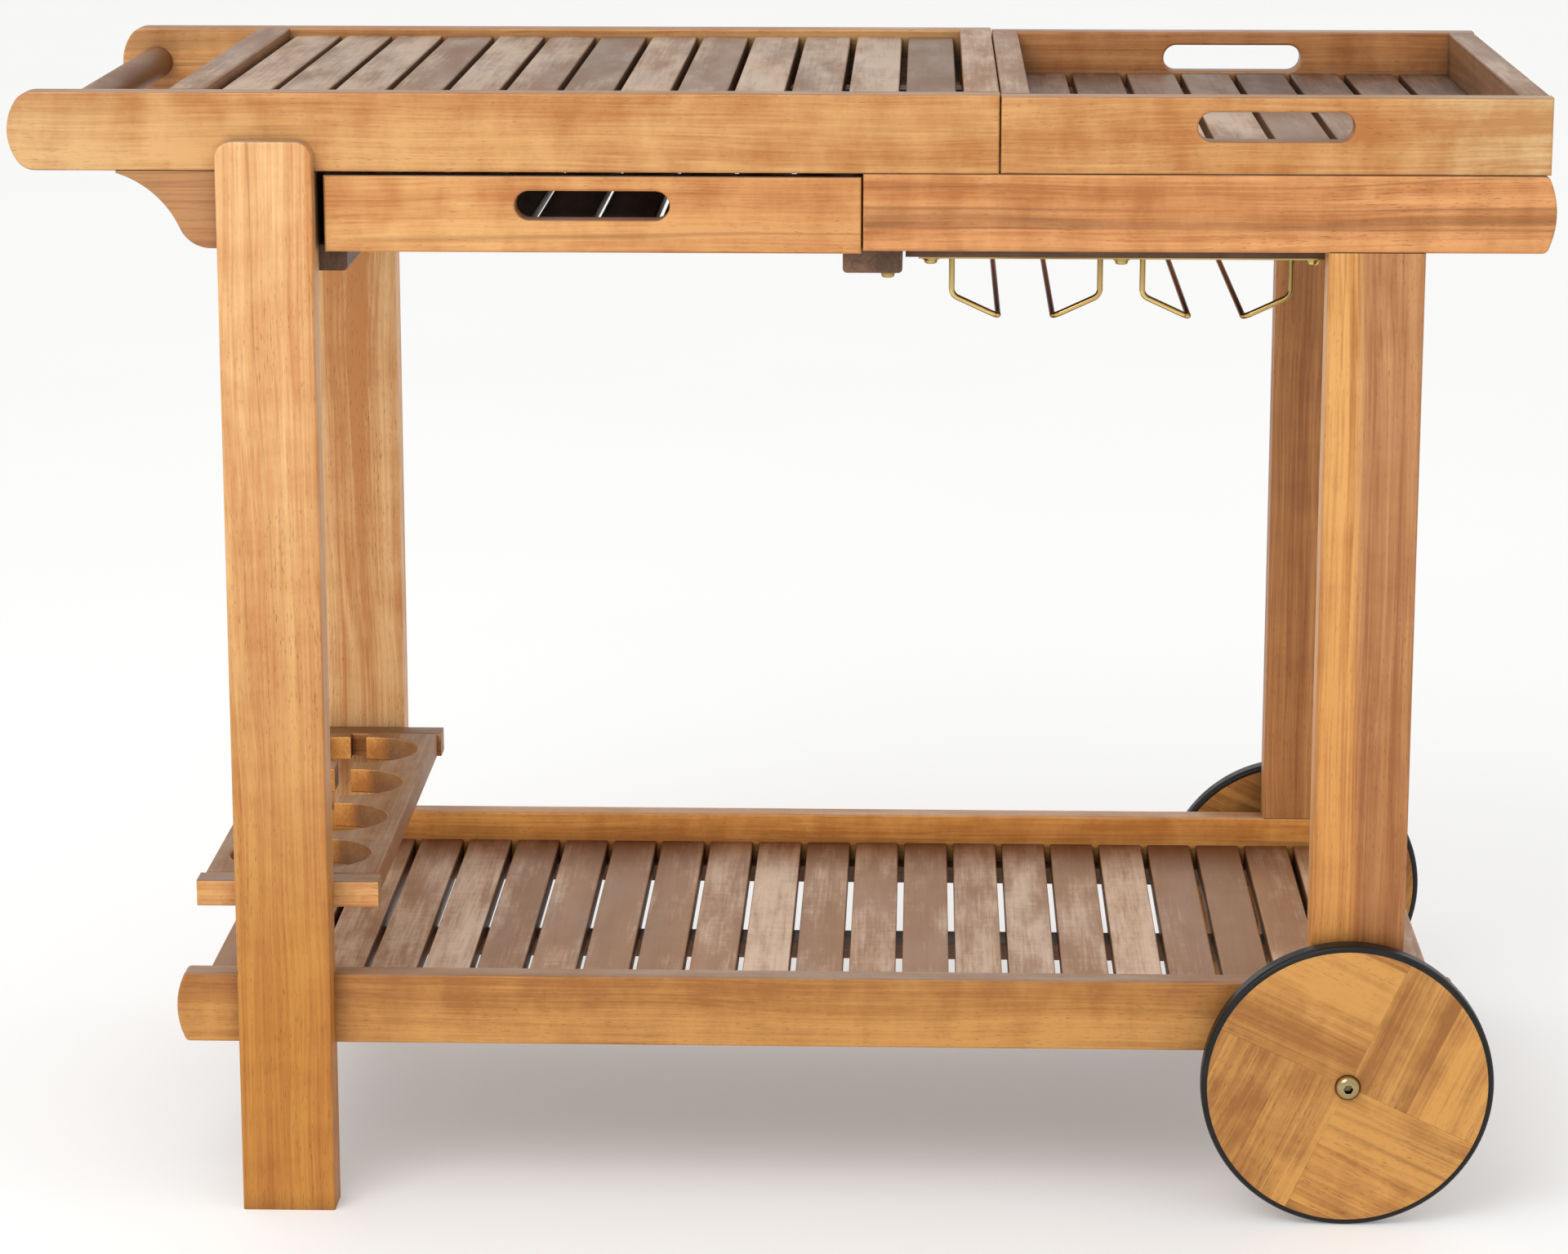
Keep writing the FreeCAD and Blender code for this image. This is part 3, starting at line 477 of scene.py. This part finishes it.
class WheelQuarters(EffectGroup):
    """Turns the wood by a quarter in each quarter of a wheel, and glues each quarter from boards."""

    title = "Wheel quarters"
    inputs = (("Vector", "Vector"), ("Centre", "Vector"), ("Seam", "Float"), ("Board", "Float"),
              ("Seed", "Float"))
    outputs = (("Vector", "Vector"), ("Tone", "Float"))

    quarter_count = 4.0
    # More than the boards in a quarter, so that no two boards of a wheel have the same number.
    quarter_stride = 17.0

    def build(self, graph: Graph, given: Sockets) -> Sockets:
        """Finds the quarter by the angle round the hub, then the board inside it.

        Args:
            graph: The group's tree.
            given: Its inputs by name.

        Returns:
            The place in the board's own wood, and its tone.
        """
        arm = graph.vector("SUBTRACT", given["Vector"], given["Centre"])
        axes = graph.split(arm)
        angle = graph.math("SUBTRACT", graph.math("ARCTAN2", axes["Z"], axes["X"]), given["Seam"])
        turns = graph.math("FLOOR", graph.math("DIVIDE", angle, QUARTER_TURN))
        quarter = graph.math("FLOORED_MODULO", turns, self.quarter_count)
        turn = graph.math("ADD", graph.math("MULTIPLY", quarter, QUARTER_TURN), given["Seam"])
        turned = graph.add("ShaderNodeVectorRotate", {"Vector": arm, "Angle": turn}, rotation_type="Y_AXIS")
        local = graph.split(turned.outputs[0])
        row = graph.math("FLOOR", graph.math("DIVIDE", local["X"], given["Board"]))
        number = graph.scale(quarter, self.quarter_stride, graph.math("ADD", row, given["Seed"]))
        chance = graph.chance(number)
        along = graph.join(local["Z"], local["X"], local["Y"])
        shift = graph.vector("MULTIPLY", chance.outputs["Color"], CUT_APART)
        return {"Vector": graph.vector("ADD", along, shift), "Tone": chance.outputs["Value"]}


@dataclass(frozen=True)
class Effects:
    """The shared node groups."""

    grain: WoodGrain
    wear: WearSheenAndShade
    lanes: SlatLanes
    quarters: WheelQuarters


@dataclass(frozen=True)
class Slats:
    """A row of slats across the fibres: how many there are, and the gap between two."""

    count: int
    gap: float = 0.005

    def find(self, graph: Graph, effects: Effects, along: Feed, node: str, number: float) -> Sockets:
        """Finds the slat and its own stretch of wood.

        Args:
            graph: The material's tree.
            effects: The shared node groups.
            along: The place in the row, with the fibres along X.
            node: The node of the row, whose slats follow each other along X in the frame.
            number: The number of its board.

        Returns:
            The place in the slat's own wood, and its tone.
        """
        low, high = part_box(node)
        pitch = (high.x - low.x + self.gap) / self.count
        return effects.lanes.place(graph, Vector=along, Start=low.x - self.gap / 2, Pitch=pitch, Seed=number)


@dataclass(frozen=True)
class Quarters:
    """A wheel of four glued quarters: the angle of its first seam, and the width of the boards."""

    seam_degrees: float
    board: float

    def find(self, graph: Graph, effects: Effects, place: Feed, node: str, number: float) -> Sockets:
        """Finds the quarter, the board in it and its own stretch of wood.

        Args:
            graph: The material's tree.
            effects: The shared node groups.
            place: The place in the frame.
            node: The wheel's node, which has its hub in its middle.
            number: The number of its board.

        Returns:
            The place in the board's own wood, and its tone.
        """
        low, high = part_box(node)
        hub = (low + high) / 2
        return effects.quarters.place(graph, Vector=place, Centre=(hub.x, 0.0, hub.z),
                                      Seam=math.radians(self.seam_degrees), Board=self.board, Seed=number)


@dataclass(frozen=True)
class Sapwood:
    """A paler strip on the left of an upright board: its width at the floor, its lean and its colours."""

    width: float
    lean: float
    pale: Colour
    deep: Colour

    waver = Wave((3.0, 8.0, 8.0))
    waver_reach = 0.012
    soft_inside = 0.003
    soft_outside = 0.005

    def mask(self, graph: Graph, place: Feed, along: Feed, node: str) -> Socket:
        """Where the strip is.

        Args:
            graph: The material's tree.
            place: The place in the frame.
            along: The place in the wood.
            node: The board's node.

        Returns:
            A mask of the strip, with a soft edge that wavers.
        """
        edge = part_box(node)[0].x + self.width
        axes = graph.split(place)
        waver = graph.math("MULTIPLY", graph.swing(along, self.waver), self.waver_reach)
        across = graph.math("ADD", graph.scale(axes["Z"], self.lean, axes["X"]), waver)
        return graph.remap(across, Ramp(edge - self.soft_inside, edge + self.soft_outside, 1.0, 0.0))


# On the shelf slats and the two front legs this tint is painted shade.
@dataclass(frozen=True)
class LengthTint:
    """A deeper colour that sets in along the fibres, at shares of the node's length from its low end."""

    start: float
    full: float
    tint: Colour

    def mask(self, graph: Graph, place: Feed, axis: GrainAxis, node: str) -> Socket:
        """How far the deeper colour has set in.

        Args:
            graph: The material's tree.
            place: The place in the frame.
            axis: The direction of the fibres.
            node: The node that has it.

        Returns:
            A mask from 0 at the start to 1 where the colour is full.
        """
        letter = axis.value[0]
        low, high = (getattr(corner, letter.lower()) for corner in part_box(node))
        ends = (low + share * (high - low) for share in (self.start, self.full))
        return graph.remap(graph.split(place)[letter], Ramp(*ends))


@dataclass(frozen=True)
class Cut:
    """How a node's wood is cut: its fibres, the number of its board, and what sets it apart."""

    axis: GrainAxis
    number: float
    slats: Optional[Slats] = None
    quarters: Optional[Quarters] = None
    sapwood: Optional[Sapwood] = None
    length_tint: Optional[LengthTint] = None

    def find(self, graph: Graph, effects: Effects, place: Feed, node: str) -> Tuple[Socket, Feed]:
        """Finds where a spot of the node lies in its board.

        Args:
            graph: The material's tree.
            effects: The shared node groups.
            place: The place in the frame.
            node: The node's name.

        Returns:
            The place in the wood, whose fibres run along X, and the tone of that piece from 0 to 1.
        """
        if self.quarters:
            found = self.quarters.find(graph, effects, place, node, self.number)
            return found["Vector"], found["Tone"]
        axes = graph.split(place)
        along = graph.join(*(axes[letter] for letter in self.axis.value))
        tone: Feed = MIDDLE
        if self.slats:
            found = self.slats.find(graph, effects, along, node, self.number)
            along, tone = found["Vector"], found["Tone"]
        shift = tuple(self.number * step for step in BOARD_STEP)
        return graph.vector("ADD", along, shift), tone


@dataclass(frozen=True)
class WoodFinish:
    """An oiled wood: its colours, the strength of its figure, its wear, its polish and painted shade in its
    corners.
    """

    pale: Colour
    deep: Colour
    # The worn colour greys the tops, and as painted shade darkens side faces where asked; the pale one makes
    # patches on the tops that are partly wear and partly painted sheen.
    worn: Colour = srgb(128, 98, 76)
    rubbed_and_sheen: Colour = srgb(178, 162, 148)
    bands: float = 2.6
    lines: float = 1.0
    fibre: float = 1.3
    mottle: float = 1.3
    veins: float = 0.8
    # The next two: wear on the tops, which also scales the painted shade on side faces, and how much of that
    # painted shade the side faces take.
    wear: float = 0.9
    side_shade: float = 0.0
    streaks: float = 0.45
    spread: float = 0.0
    roughness: Tuple[float, float] = (0.4, 0.58)
    specular: float = 0.4
    bump: float = 0.2
    # The next two set the painted shade in corners: the darkest factor, and the openness above which no
    # shade is painted.
    corner_shade: float = 0.4
    shade_free_openness: float = 0.8
    reach: float = 0.03

    polish = Wave((7.0, 28.0, 28.0), detail=3.0)
    polish_edges = (0.3, 0.7)
    deepest_corner = 0.1
    relief = 0.0006

    def tinted(self, factor: float) -> "WoodFinish":
        """The same wood, lighter or darker.

        Args:
            factor: What the colours are multiplied by.

        Returns:
            A finish with the new colours.
        """
        def scaled(colour: Colour) -> Colour:
            """One colour times the factor."""
            return (colour[0] * factor, colour[1] * factor, colour[2] * factor, 1.0)
        return replace(self, pale=scaled(self.pale), deep=scaled(self.deep), worn=scaled(self.worn),
                       rubbed_and_sheen=scaled(self.rubbed_and_sheen))

    def material(self, node: str, effects: Effects, cut: Cut) -> bpy.types.Material:
        """Makes the material of one board, one row of slats or one wheel.

        Args:
            node: The node that gets it.
            effects: The shared node groups.
            cut: How its wood is cut.

        Returns:
            The new material.
        """
        surface = Surface(f"{node}_wood")
        place = surface.place()
        along, tone = cut.find(surface, effects, place, node)
        pale, deep = self.pale, self.deep
        if cut.sapwood:
            strip = cut.sapwood.mask(surface, place, along, node)
            pale = surface.blend(strip, self.pale, cut.sapwood.pale)
            deep = surface.blend(strip, self.deep, cut.sapwood.deep)
        grain = effects.grain.place(surface, Vector=along, Pale=pale, Deep=deep, Bands=self.bands,
                                    Lines=self.lines, Fibre=self.fibre, Mottle=self.mottle, Veins=self.veins)
        worn = effects.wear.place(surface, Color=grain["Color"], Vector=along, Worn=self.worn,
                                  RubbedAndSheen=self.rubbed_and_sheen, Wear=self.wear, Streaks=self.streaks, Tone=tone,
                                  SideShade=self.side_shade)
        colour = worn["Color"]
        # A deeper colour along the length; on the shelf slats and the two front legs it is painted shade.
        if cut.length_tint:
            share = cut.length_tint.mask(surface, place, cut.axis, node)
            colour = surface.blend(share, colour, cut.length_tint.tint, "MULTIPLY")
        if self.spread:
            colour = surface.brighten(colour, surface.scale(tone, self.spread, 1.0 - self.spread / 2))
        # Painted shade: the colour darkens in corners, gaps and hollows, where nearby pieces keep the light
        # off.
        corner = Ramp(self.deepest_corner, self.shade_free_openness, self.corner_shade, 1.0)
        shade = surface.remap(surface.openness(self.reach), corner)
        surface.paint("Base Color", surface.brighten(colour, shade))
        polish = surface.noise(along, self.polish)
        surface.paint("Roughness", surface.remap(polish, Ramp(*self.polish_edges, *self.roughness)))
        surface.paint("Specular IOR Level", self.specular)
        surface.emboss(grain["Height"], self.bump, self.relief)
        return surface.material


@dataclass(frozen=True)
class BrassFinish:
    """Polished brass with an uneven tarnish, and painted shade where other pieces come close to it."""

    bright: Colour = srgb(224, 196, 128)
    dull: Colour = srgb(186, 150, 84)
    rim: Colour = srgb(112, 76, 54)
    roughness: Tuple[float, float] = (0.12, 0.2)
    reach: float = 0.008

    tarnish = Wave((9.0, 9.0, 9.0))
    tarnish_edge = Ramp(0.35, 0.7)
    polish_edges = (0.3, 0.7)
    sheltered_shade = Ramp(0.3, 0.9, 0.2, 1.0)

    def material(self, name: str) -> bpy.types.Material:
        """Makes the brass.

        Args:
            name: The material's name.

        Returns:
            The new material.
        """
        surface = Surface(name)
        tarnish = surface.noise(surface.place(), self.tarnish)
        metal = surface.blend(surface.remap(tarnish, self.tarnish_edge), self.bright, self.dull)
        # Painted shade: the brass darkens where nearby pieces keep the light off.
        shelter_shade = surface.remap(surface.openness(self.reach), self.sheltered_shade)
        surface.paint("Base Color", surface.brighten(metal, shelter_shade))
        surface.paint("Roughness", surface.remap(tarnish, Ramp(*self.polish_edges, *self.roughness)))
        surface.paint("Metallic", 1.0)
        surface.paint("Specular Tint", self.rim)
        return surface.material


@dataclass(frozen=True)
class RubberFinish:
    """Dark rubber, a little dusty, with a fine moulded grain."""

    dark: Colour = srgb(14, 13, 12)
    dusty: Colour = srgb(32, 29, 27)
    roughness: Tuple[float, float] = (0.4, 0.58)
    specular: float = 0.3
    bump: float = 0.16

    dust = Wave((45.0, 45.0, 45.0), detail=4.0)
    dust_edge = Ramp(0.42, 0.72)
    pimples = Wave((1400.0, 1400.0, 1400.0), detail=1.0)
    relief = 0.0003

    def material(self, name: str) -> bpy.types.Material:
        """Makes the rubber.

        Args:
            name: The material's name.

        Returns:
            The new material.
        """
        surface = Surface(name)
        place = surface.place()
        dust = surface.remap(surface.noise(place, self.dust), self.dust_edge)
        surface.paint("Base Color", surface.blend(dust, self.dark, self.dusty))
        surface.paint("Roughness", surface.remap(dust, Ramp(0.0, 1.0, *self.roughness)))
        surface.paint("Specular IOR Level", self.specular)
        surface.emboss(surface.noise(place, self.pimples), self.bump, self.relief)
        return surface.material


HONEY = WoodFinish(pale=srgb(208, 157, 97), deep=srgb(172, 109, 53), lines=0.65, mottle=1.6)
PALE = replace(HONEY, pale=srgb(230, 184, 127), deep=srgb(194, 130, 73), lines=1.4, mottle=0.9)
AMBER = replace(HONEY, pale=srgb(190, 134, 82), deep=srgb(150, 91, 43), bands=4.0, lines=1.1, veins=1.0)
GOLD = replace(HONEY, pale=srgb(196, 140, 72), deep=srgb(156, 98, 41))
TAN = replace(HONEY, pale=srgb(186, 134, 85), deep=srgb(150, 96, 52), bands=2.0, lines=2.2, fibre=1.6,
              mottle=0.7)
BROWN = replace(HONEY, pale=srgb(196, 136, 79), deep=srgb(154, 95, 48), lines=2.0, fibre=1.6, mottle=0.8)
SLAT = replace(HONEY, pale=srgb(156, 112, 76), deep=srgb(112, 78, 52), worn=srgb(128, 95, 69),
               rubbed_and_sheen=srgb(188, 162, 137), wear=1.0, streaks=0.8, spread=0.2, specular=0.3)
CROSS = replace(SLAT, pale=srgb(176, 124, 78), deep=srgb(140, 92, 54), spread=0.0)
# A darker copy of the honey wood: painted shade for pieces that sit in shadow under others.
SHADED = replace(HONEY, pale=srgb(132, 102, 80), deep=srgb(94, 70, 54), wear=0.4, streaks=0.2, specular=0.25)
HANDLE = replace(HONEY, pale=srgb(150, 103, 60), deep=srgb(112, 72, 38), wear=0.2, streaks=0.05,
                 specular=0.25)
WHEEL = replace(HONEY, pale=srgb(202, 145, 73), deep=srgb(154, 99, 42), wear=0.0, streaks=0.0, spread=0.15,
                bands=2.8, lines=1.6, fibre=1.2, mottle=1.6)


@dataclass
class SubAssembly:
    """Some nodes of the trolley and the finishes that they get."""

    nodes: Dict[str, bpy.types.Object]
    effects: Effects
    dressed: List[str] = field(default_factory=list)

    def put(self, node: str, material: bpy.types.Material) -> None:
        """Gives a node its one material and notes it.

        Args:
            node: The node's name.
            material: Its material.
        """
        mesh = self.nodes[node].data
        mesh.materials.clear()
        mesh.materials.append(material)
        self.dressed.append(node)
        LOG.info("dressed %s", node)

    def board(self, node: str, finish: WoodFinish, cut: Cut) -> None:
        """Dresses one wooden node.

        Args:
            node: The node's name.
            finish: Its wood.
            cut: How that wood is cut.
        """
        self.put(node, finish.material(node, self.effects, cut))

    def boards(self, names: Sequence[str], finish: WoodFinish, axis: GrainAxis, number: float) -> None:
        """Dresses nodes of the same wood, each cut from its own board.

        Args:
            names: The nodes' names.
            finish: Their wood.
            axis: The direction of their fibres.
            number: The first one's board. The others follow it.
        """
        for step, node in enumerate(names):
            self.board(node, finish, Cut(axis, number + step))

    def dress(self) -> None:
        """Gives every node of the sub-assembly its finish."""
        raise NotImplementedError


@dataclass
class TopDeck(SubAssembly):
    """Rails, push handle, cross pieces and slats of the top."""

    slats: Slats = Slats(13)
    rail_wood: WoodFinish = replace(HONEY, pale=srgb(208, 164, 110), deep=srgb(172, 114, 60))
    rail_honey: LengthTint = LengthTint(start=0.041, full=0.247, tint=srgb(255, 244, 225))

    def dress(self) -> None:
        """Honey rails and taupe slats."""
        self.board("top_front_rail", self.rail_wood, Cut(GrainAxis.LENGTH, 1.0, length_tint=self.rail_honey))
        self.board("top_rear_rail", HONEY, Cut(GrainAxis.LENGTH, 2.0))
        self.board("handle_dowel", HANDLE, Cut(GrainAxis.DEPTH, 3.0))
        self.board("top_left_cross", CROSS.tinted(0.87), Cut(GrainAxis.DEPTH, 4.0))
        self.board("top_right_cross", CROSS, Cut(GrainAxis.DEPTH, 5.0))
        self.board("top_slats", SLAT.tinted(0.92), Cut(GrainAxis.DEPTH, 6.0, slats=self.slats))
        self.boards(("top_slat_cleats", "top_center_batten"), SHADED, GrainAxis.LENGTH, 7.0)


@dataclass
class Underframe(SubAssembly):
    """Corbels, aprons, cross rails and the drawer's runners."""

    hidden: Tuple[str, ...] = ("left_cross_rail", "mid_cross_rail", "right_cross_rail", "drawer_runner_left",
                               "drawer_runner_right")

    def dress(self) -> None:
        """Amber aprons, tan corbels and dark hidden rails."""
        self.boards(("front_corbel", "rear_corbel"), TAN.tinted(0.9), GrainAxis.LENGTH, 11.0)
        self.board("front_apron", AMBER.tinted(1.33), Cut(GrainAxis.LENGTH, 13.6))
        self.board("rear_apron", AMBER, Cut(GrainAxis.LENGTH, 14.0))
        self.boards(self.hidden, SHADED, GrainAxis.DEPTH, 15.0)


@dataclass
class Legs(SubAssembly):
    """Two plain legs on the left, two legs with axles on the right."""

    streaky_wood: WoodFinish = replace(PALE.tinted(1.08), bands=3.4, lines=2.0)
    # Both front legs darken towards the floor: painted shade, as the light falls from above.
    gold_foot_shade: LengthTint = LengthTint(start=0.862, full=0.157, tint=srgb(210, 180, 108))
    tan_foot_shade: LengthTint = LengthTint(start=0.819, full=0.175, tint=srgb(240, 226, 205))
    pale_strip: Sapwood = Sapwood(width=0.0365, lean=0.0243, pale=srgb(218, 160, 90),
                                  deep=srgb(172, 108, 46))

    def dress(self) -> None:
        """A leg each from its own board."""
        self.board("leg_front_left", PALE, Cut(GrainAxis.HEIGHT, 21.0, length_tint=self.gold_foot_shade))
        self.board("leg_rear_left", self.streaky_wood, Cut(GrainAxis.HEIGHT, 22.0))
        stripy = Cut(GrainAxis.HEIGHT, 23.0, sapwood=self.pale_strip, length_tint=self.tan_foot_shade)
        self.board("leg_front_right", TAN.tinted(1.07), stripy)
        self.board("leg_rear_right", BROWN, Cut(GrainAxis.HEIGHT, 24.0))


@dataclass
class Shelf(SubAssembly):
    """The lower shelf's rails, slats, ledgers and battens."""

    slats: Slats = Slats(23)
    slat_wood: WoodFinish = replace(SLAT.tinted(1.5), rubbed_and_sheen=srgb(222, 195, 170), streaks=0.75)
    # The slats darken towards the back: painted shade under the deck above.
    brown_back: LengthTint = LengthTint(start=0.72, full=1.0, tint=srgb(176, 146, 124))

    def dress(self) -> None:
        """Golden rails, taupe slats with painted shade towards the back, and the shaded copy of the wood
        below.
        """
        self.board("shelf_front_rail", GOLD, Cut(GrainAxis.LENGTH, 31.0))
        self.board("shelf_rear_rail", GOLD.tinted(1.7), Cut(GrainAxis.LENGTH, 32.0))
        floor = Cut(GrainAxis.DEPTH, 33.0, slats=self.slats, length_tint=self.brown_back)
        self.board("shelf_slats", self.slat_wood, floor)
        self.boards(("shelf_slat_cleats", "shelf_center_batten"), SHADED, GrainAxis.LENGTH, 34.0)
        self.boards(("shelf_left_cross_rail", "shelf_right_cross_rail"), SHADED, GrainAxis.DEPTH, 36.0)


@dataclass
class BottleRack(SubAssembly):
    """Scalloped boards and their battens."""

    # Painted shade: the boards darken deep into their hollows, and the side faces of boards and battens take
    # the very dark worn colour.
    board_wood: WoodFinish = replace(GOLD.tinted(1.9), worn=srgb(76, 50, 33), rubbed_and_sheen=srgb(184, 160, 138),
                                     wear=1.0, side_shade=0.85, streaks=0.5, corner_shade=0.1, shade_free_openness=1.0, reach=0.1)
    batten_wood: WoodFinish = replace(HONEY.tinted(1.15), worn=srgb(76, 50, 33), wear=1.0, side_shade=0.7,
                                      streaks=0.28)

    def dress(self) -> None:
        """Golden cheeks, painted shade in the hollows and on the side faces, and worn tops."""
        self.boards(("bottle_board_left", "bottle_board_right"), self.board_wood, GrainAxis.DEPTH, 41.0)
        self.boards(("bottle_front_batten", "bottle_rear_batten"), self.batten_wood, GrainAxis.LENGTH, 43.0)


@dataclass
class StemwareRack(SubAssembly):
    """Wooden battens, brass bars and wires, and the screws of the whole underside."""

    brass: BrassFinish = BrassFinish()
    # The wires' long reach paints shade on their far runs, under the deck.
    wire_brass: BrassFinish = BrassFinish(reach=0.12)

    def dress(self) -> None:
        """Dark battens and brass."""
        self.boards(("glass_batten_front", "glass_batten_rear"), SHADED, GrainAxis.LENGTH, 51.0)
        brass = self.brass.material("brass_fittings")
        for node in ("glass_bar_front", "glass_bar_rear", "glass_screws", "runner_screws"):
            self.put(node, brass)
        self.put("glass_wires", self.wire_brass.material("brass_wires"))


@dataclass
class Drawer(SubAssembly):
    """The drawer's boards, slats and ledgers."""

    slats: Slats = Slats(8)
    deep_end: LengthTint = LengthTint(start=0.031, full=0.957, tint=srgb(241, 228, 220))

    def dress(self) -> None:
        """A pale front with darker boards behind it."""
        self.board("drawer_front", HONEY.tinted(1.12), Cut(GrainAxis.LENGTH, 61.0, length_tint=self.deep_end))
        self.board("drawer_back", TAN, Cut(GrainAxis.LENGTH, 62.0))
        self.boards(("drawer_side_left", "drawer_side_right"), TAN, GrainAxis.DEPTH, 63.0)
        # The slats get a much darker copy of the slat wood: painted shade under the top.
        self.board("drawer_slats", SLAT.tinted(0.5), Cut(GrainAxis.DEPTH, 65.0, slats=self.slats))
        self.board("drawer_slat_cleats", SHADED, Cut(GrainAxis.LENGTH, 66.0))


@dataclass
class Tray(SubAssembly):
    """The lift-off tray's boards, slats and ledgers."""

    slats: Slats = Slats(8)
    front_wood: WoodFinish = replace(HONEY.tinted(1.03), pale=srgb(216, 182, 130), deep=srgb(180, 127, 73))
    honey_end: LengthTint = LengthTint(start=0.939, full=0.67, tint=srgb(244, 219, 190))
    # A darker copy of the cross wood: painted shade on the right board, whose inner face sits in shadow.
    shady_wood: WoodFinish = replace(CROSS, pale=srgb(146, 102, 66), deep=srgb(112, 75, 45))
    brown_back: LengthTint = LengthTint(start=0.227, full=0.636, tint=srgb(176, 164, 158))

    def dress(self) -> None:
        """Honey long boards, worn cross boards and floor."""
        self.board("tray_front", self.front_wood, Cut(GrainAxis.LENGTH, 71.0, length_tint=self.honey_end))
        self.board("tray_back", AMBER, Cut(GrainAxis.LENGTH, 72.0))
        self.board("tray_side_left", CROSS, Cut(GrainAxis.DEPTH, 73.0))
        self.board("tray_side_right", self.shady_wood, Cut(GrainAxis.DEPTH, 74.0))
        floor = Cut(GrainAxis.DEPTH, 75.0, slats=self.slats, length_tint=self.brown_back)
        self.board("tray_slats", SLAT, floor)
        self.board("tray_slat_cleats", SHADED, Cut(GrainAxis.LENGTH, 76.0))


@dataclass
class Wheels(SubAssembly):
    """Two wheels of glued quarters with rubber tyres, and their axles."""

    quarters: Quarters = Quarters(seam_degrees=65.0, board=0.046)
    # A darker copy of the brass for the hubs: painted shade, for the darker reflections the hubs show.
    brass: BrassFinish = BrassFinish(bright=srgb(178, 158, 116), dull=srgb(134, 112, 74))
    rubber: RubberFinish = RubberFinish()

    def dress(self) -> None:
        """Quarters with crossing grain, dark tyres and brass hubs."""
        brass = self.brass.material("brass_axles")
        rubber = self.rubber.material("tyre_rubber")
        for number, side in ((81.0, "front"), (82.0, "rear")):
            self.board(f"wheel_disc_{side}", WHEEL, Cut(GrainAxis.LENGTH, number, quarters=self.quarters))
            self.put(f"tyre_{side}", rubber)
            self.put(f"bush_{side}", brass)
        for node in ("axle_bolts", "axle_spacers", "axle_nuts"):
            self.put(node, brass)


@dataclass
class Studio:
    """A pale floor, soft light from all round, one large soft lamp and the camera."""

    floor_half: float = 30.0
    floor_pale: Colour = srgb(226, 226, 225)
    floor_grey: Colour = srgb(221, 221, 220)
    floor_clouds: Wave = Wave((1.2, 1.2, 1.2), detail=3.0)
    floor_roughness: float = 0.7
    floor_glow: float = 0.2
    sky_strength: float = 0.95
    lamp_place: Triple = (-1.2, -2.6, 3.0)
    lamp_aim: Triple = (0.0, 0.0, 0.6)
    lamp_size: float = 2.2
    lamp_watts: float = 60.0
    camera_place: Triple = (0.0977, -3.3, 1.1329)
    camera_pitch: float = 12.973
    camera_yaw: float = 1.767
    camera_far: float = 100.0
    focal_pixels: float = 5532.0
    photo_pixels: float = 1920.0
    sensor_width: float = 36.0

    def build(self) -> None:
        """Makes the whole studio."""
        self.floor()
        self.light()
        self.camera()

    def floor(self) -> None:
        """A wide plain floor that isn't part of the trolley."""
        half = self.floor_half
        corners = [(-half, -half, 0.0), (half, -half, 0.0), (half, half, 0.0), (-half, half, 0.0)]
        mesh = bpy.data.meshes.new("studio_floor")
        mesh.from_pydata(corners, [], [range(len(corners))])
        floor = bpy.data.objects.new("studio_floor", mesh)
        bpy.context.scene.collection.objects.link(floor)
        surface = Surface("studio_floor")
        cloud = surface.noise(surface.place(), self.floor_clouds)
        surface.paint("Base Color", surface.blend(cloud, self.floor_pale, self.floor_grey))
        surface.paint("Roughness", self.floor_roughness)
        # The floor glows a little: painted light that lifts the shadow under the trolley.
        surface.paint("Emission Color", WHITE)
        surface.paint("Emission Strength", self.floor_glow)
        mesh.materials.append(surface.material)

    def light(self) -> None:
        """An even pale sky and one large soft lamp at the upper left in front."""
        scene = bpy.context.scene
        scene.world = bpy.data.worlds.new("studio_sky")
        scene.world.use_nodes = True
        sky = scene.world.node_tree.nodes["Background"]
        sky.inputs["Color"].default_value = WHITE
        sky.inputs["Strength"].default_value = self.sky_strength
        lamp_data = bpy.data.lights.new("studio_softbox", "AREA")
        lamp_data.size = self.lamp_size
        lamp_data.energy = self.lamp_watts
        lamp = bpy.data.objects.new("studio_softbox", lamp_data)
        lamp.location = self.lamp_place
        aim = Vector(self.lamp_aim) - Vector(self.lamp_place)
        lamp.rotation_euler = aim.to_track_quat("-Z", "Y").to_euler()
        scene.collection.objects.link(lamp)
        scene.view_settings.view_transform = "Standard"

    def camera(self) -> None:
        """The camera at the photograph's angle."""
        data = bpy.data.cameras.new("studio_camera")
        data.sensor_width = self.sensor_width
        data.lens = self.focal_pixels * self.sensor_width / self.photo_pixels
        data.clip_end = self.camera_far
        camera = bpy.data.objects.new("studio_camera", data)
        camera.location = self.camera_place
        upright = QUARTER_TURN - math.radians(self.camera_pitch)
        camera.rotation_euler = (upright, 0.0, math.radians(self.camera_yaw))
        bpy.context.scene.collection.objects.link(camera)
        bpy.context.scene.camera = camera


def main() -> None:
    """Loads the frame, dresses every sub-assembly and builds the studio."""
    logging.basicConfig(level=logging.INFO, format="%(name)s: %(message)s")
    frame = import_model()
    Studio().build()
    effects = Effects(WoodGrain(), WearSheenAndShade(), SlatLanes(), WheelQuarters())
    dressed: List[str] = []
    for kind in (TopDeck, Underframe, Legs, Shelf, BottleRack, StemwareRack, Drawer, Tray, Wheels):
        part = kind(frame["nodes"], effects)
        part.dress()
        dressed += part.dressed
    bare = sorted(set(frame["nodes"]) - set(dressed))
    if bare:
        raise RuntimeError(f"no finish for {bare}")


if __name__ == "__main__":
    main()
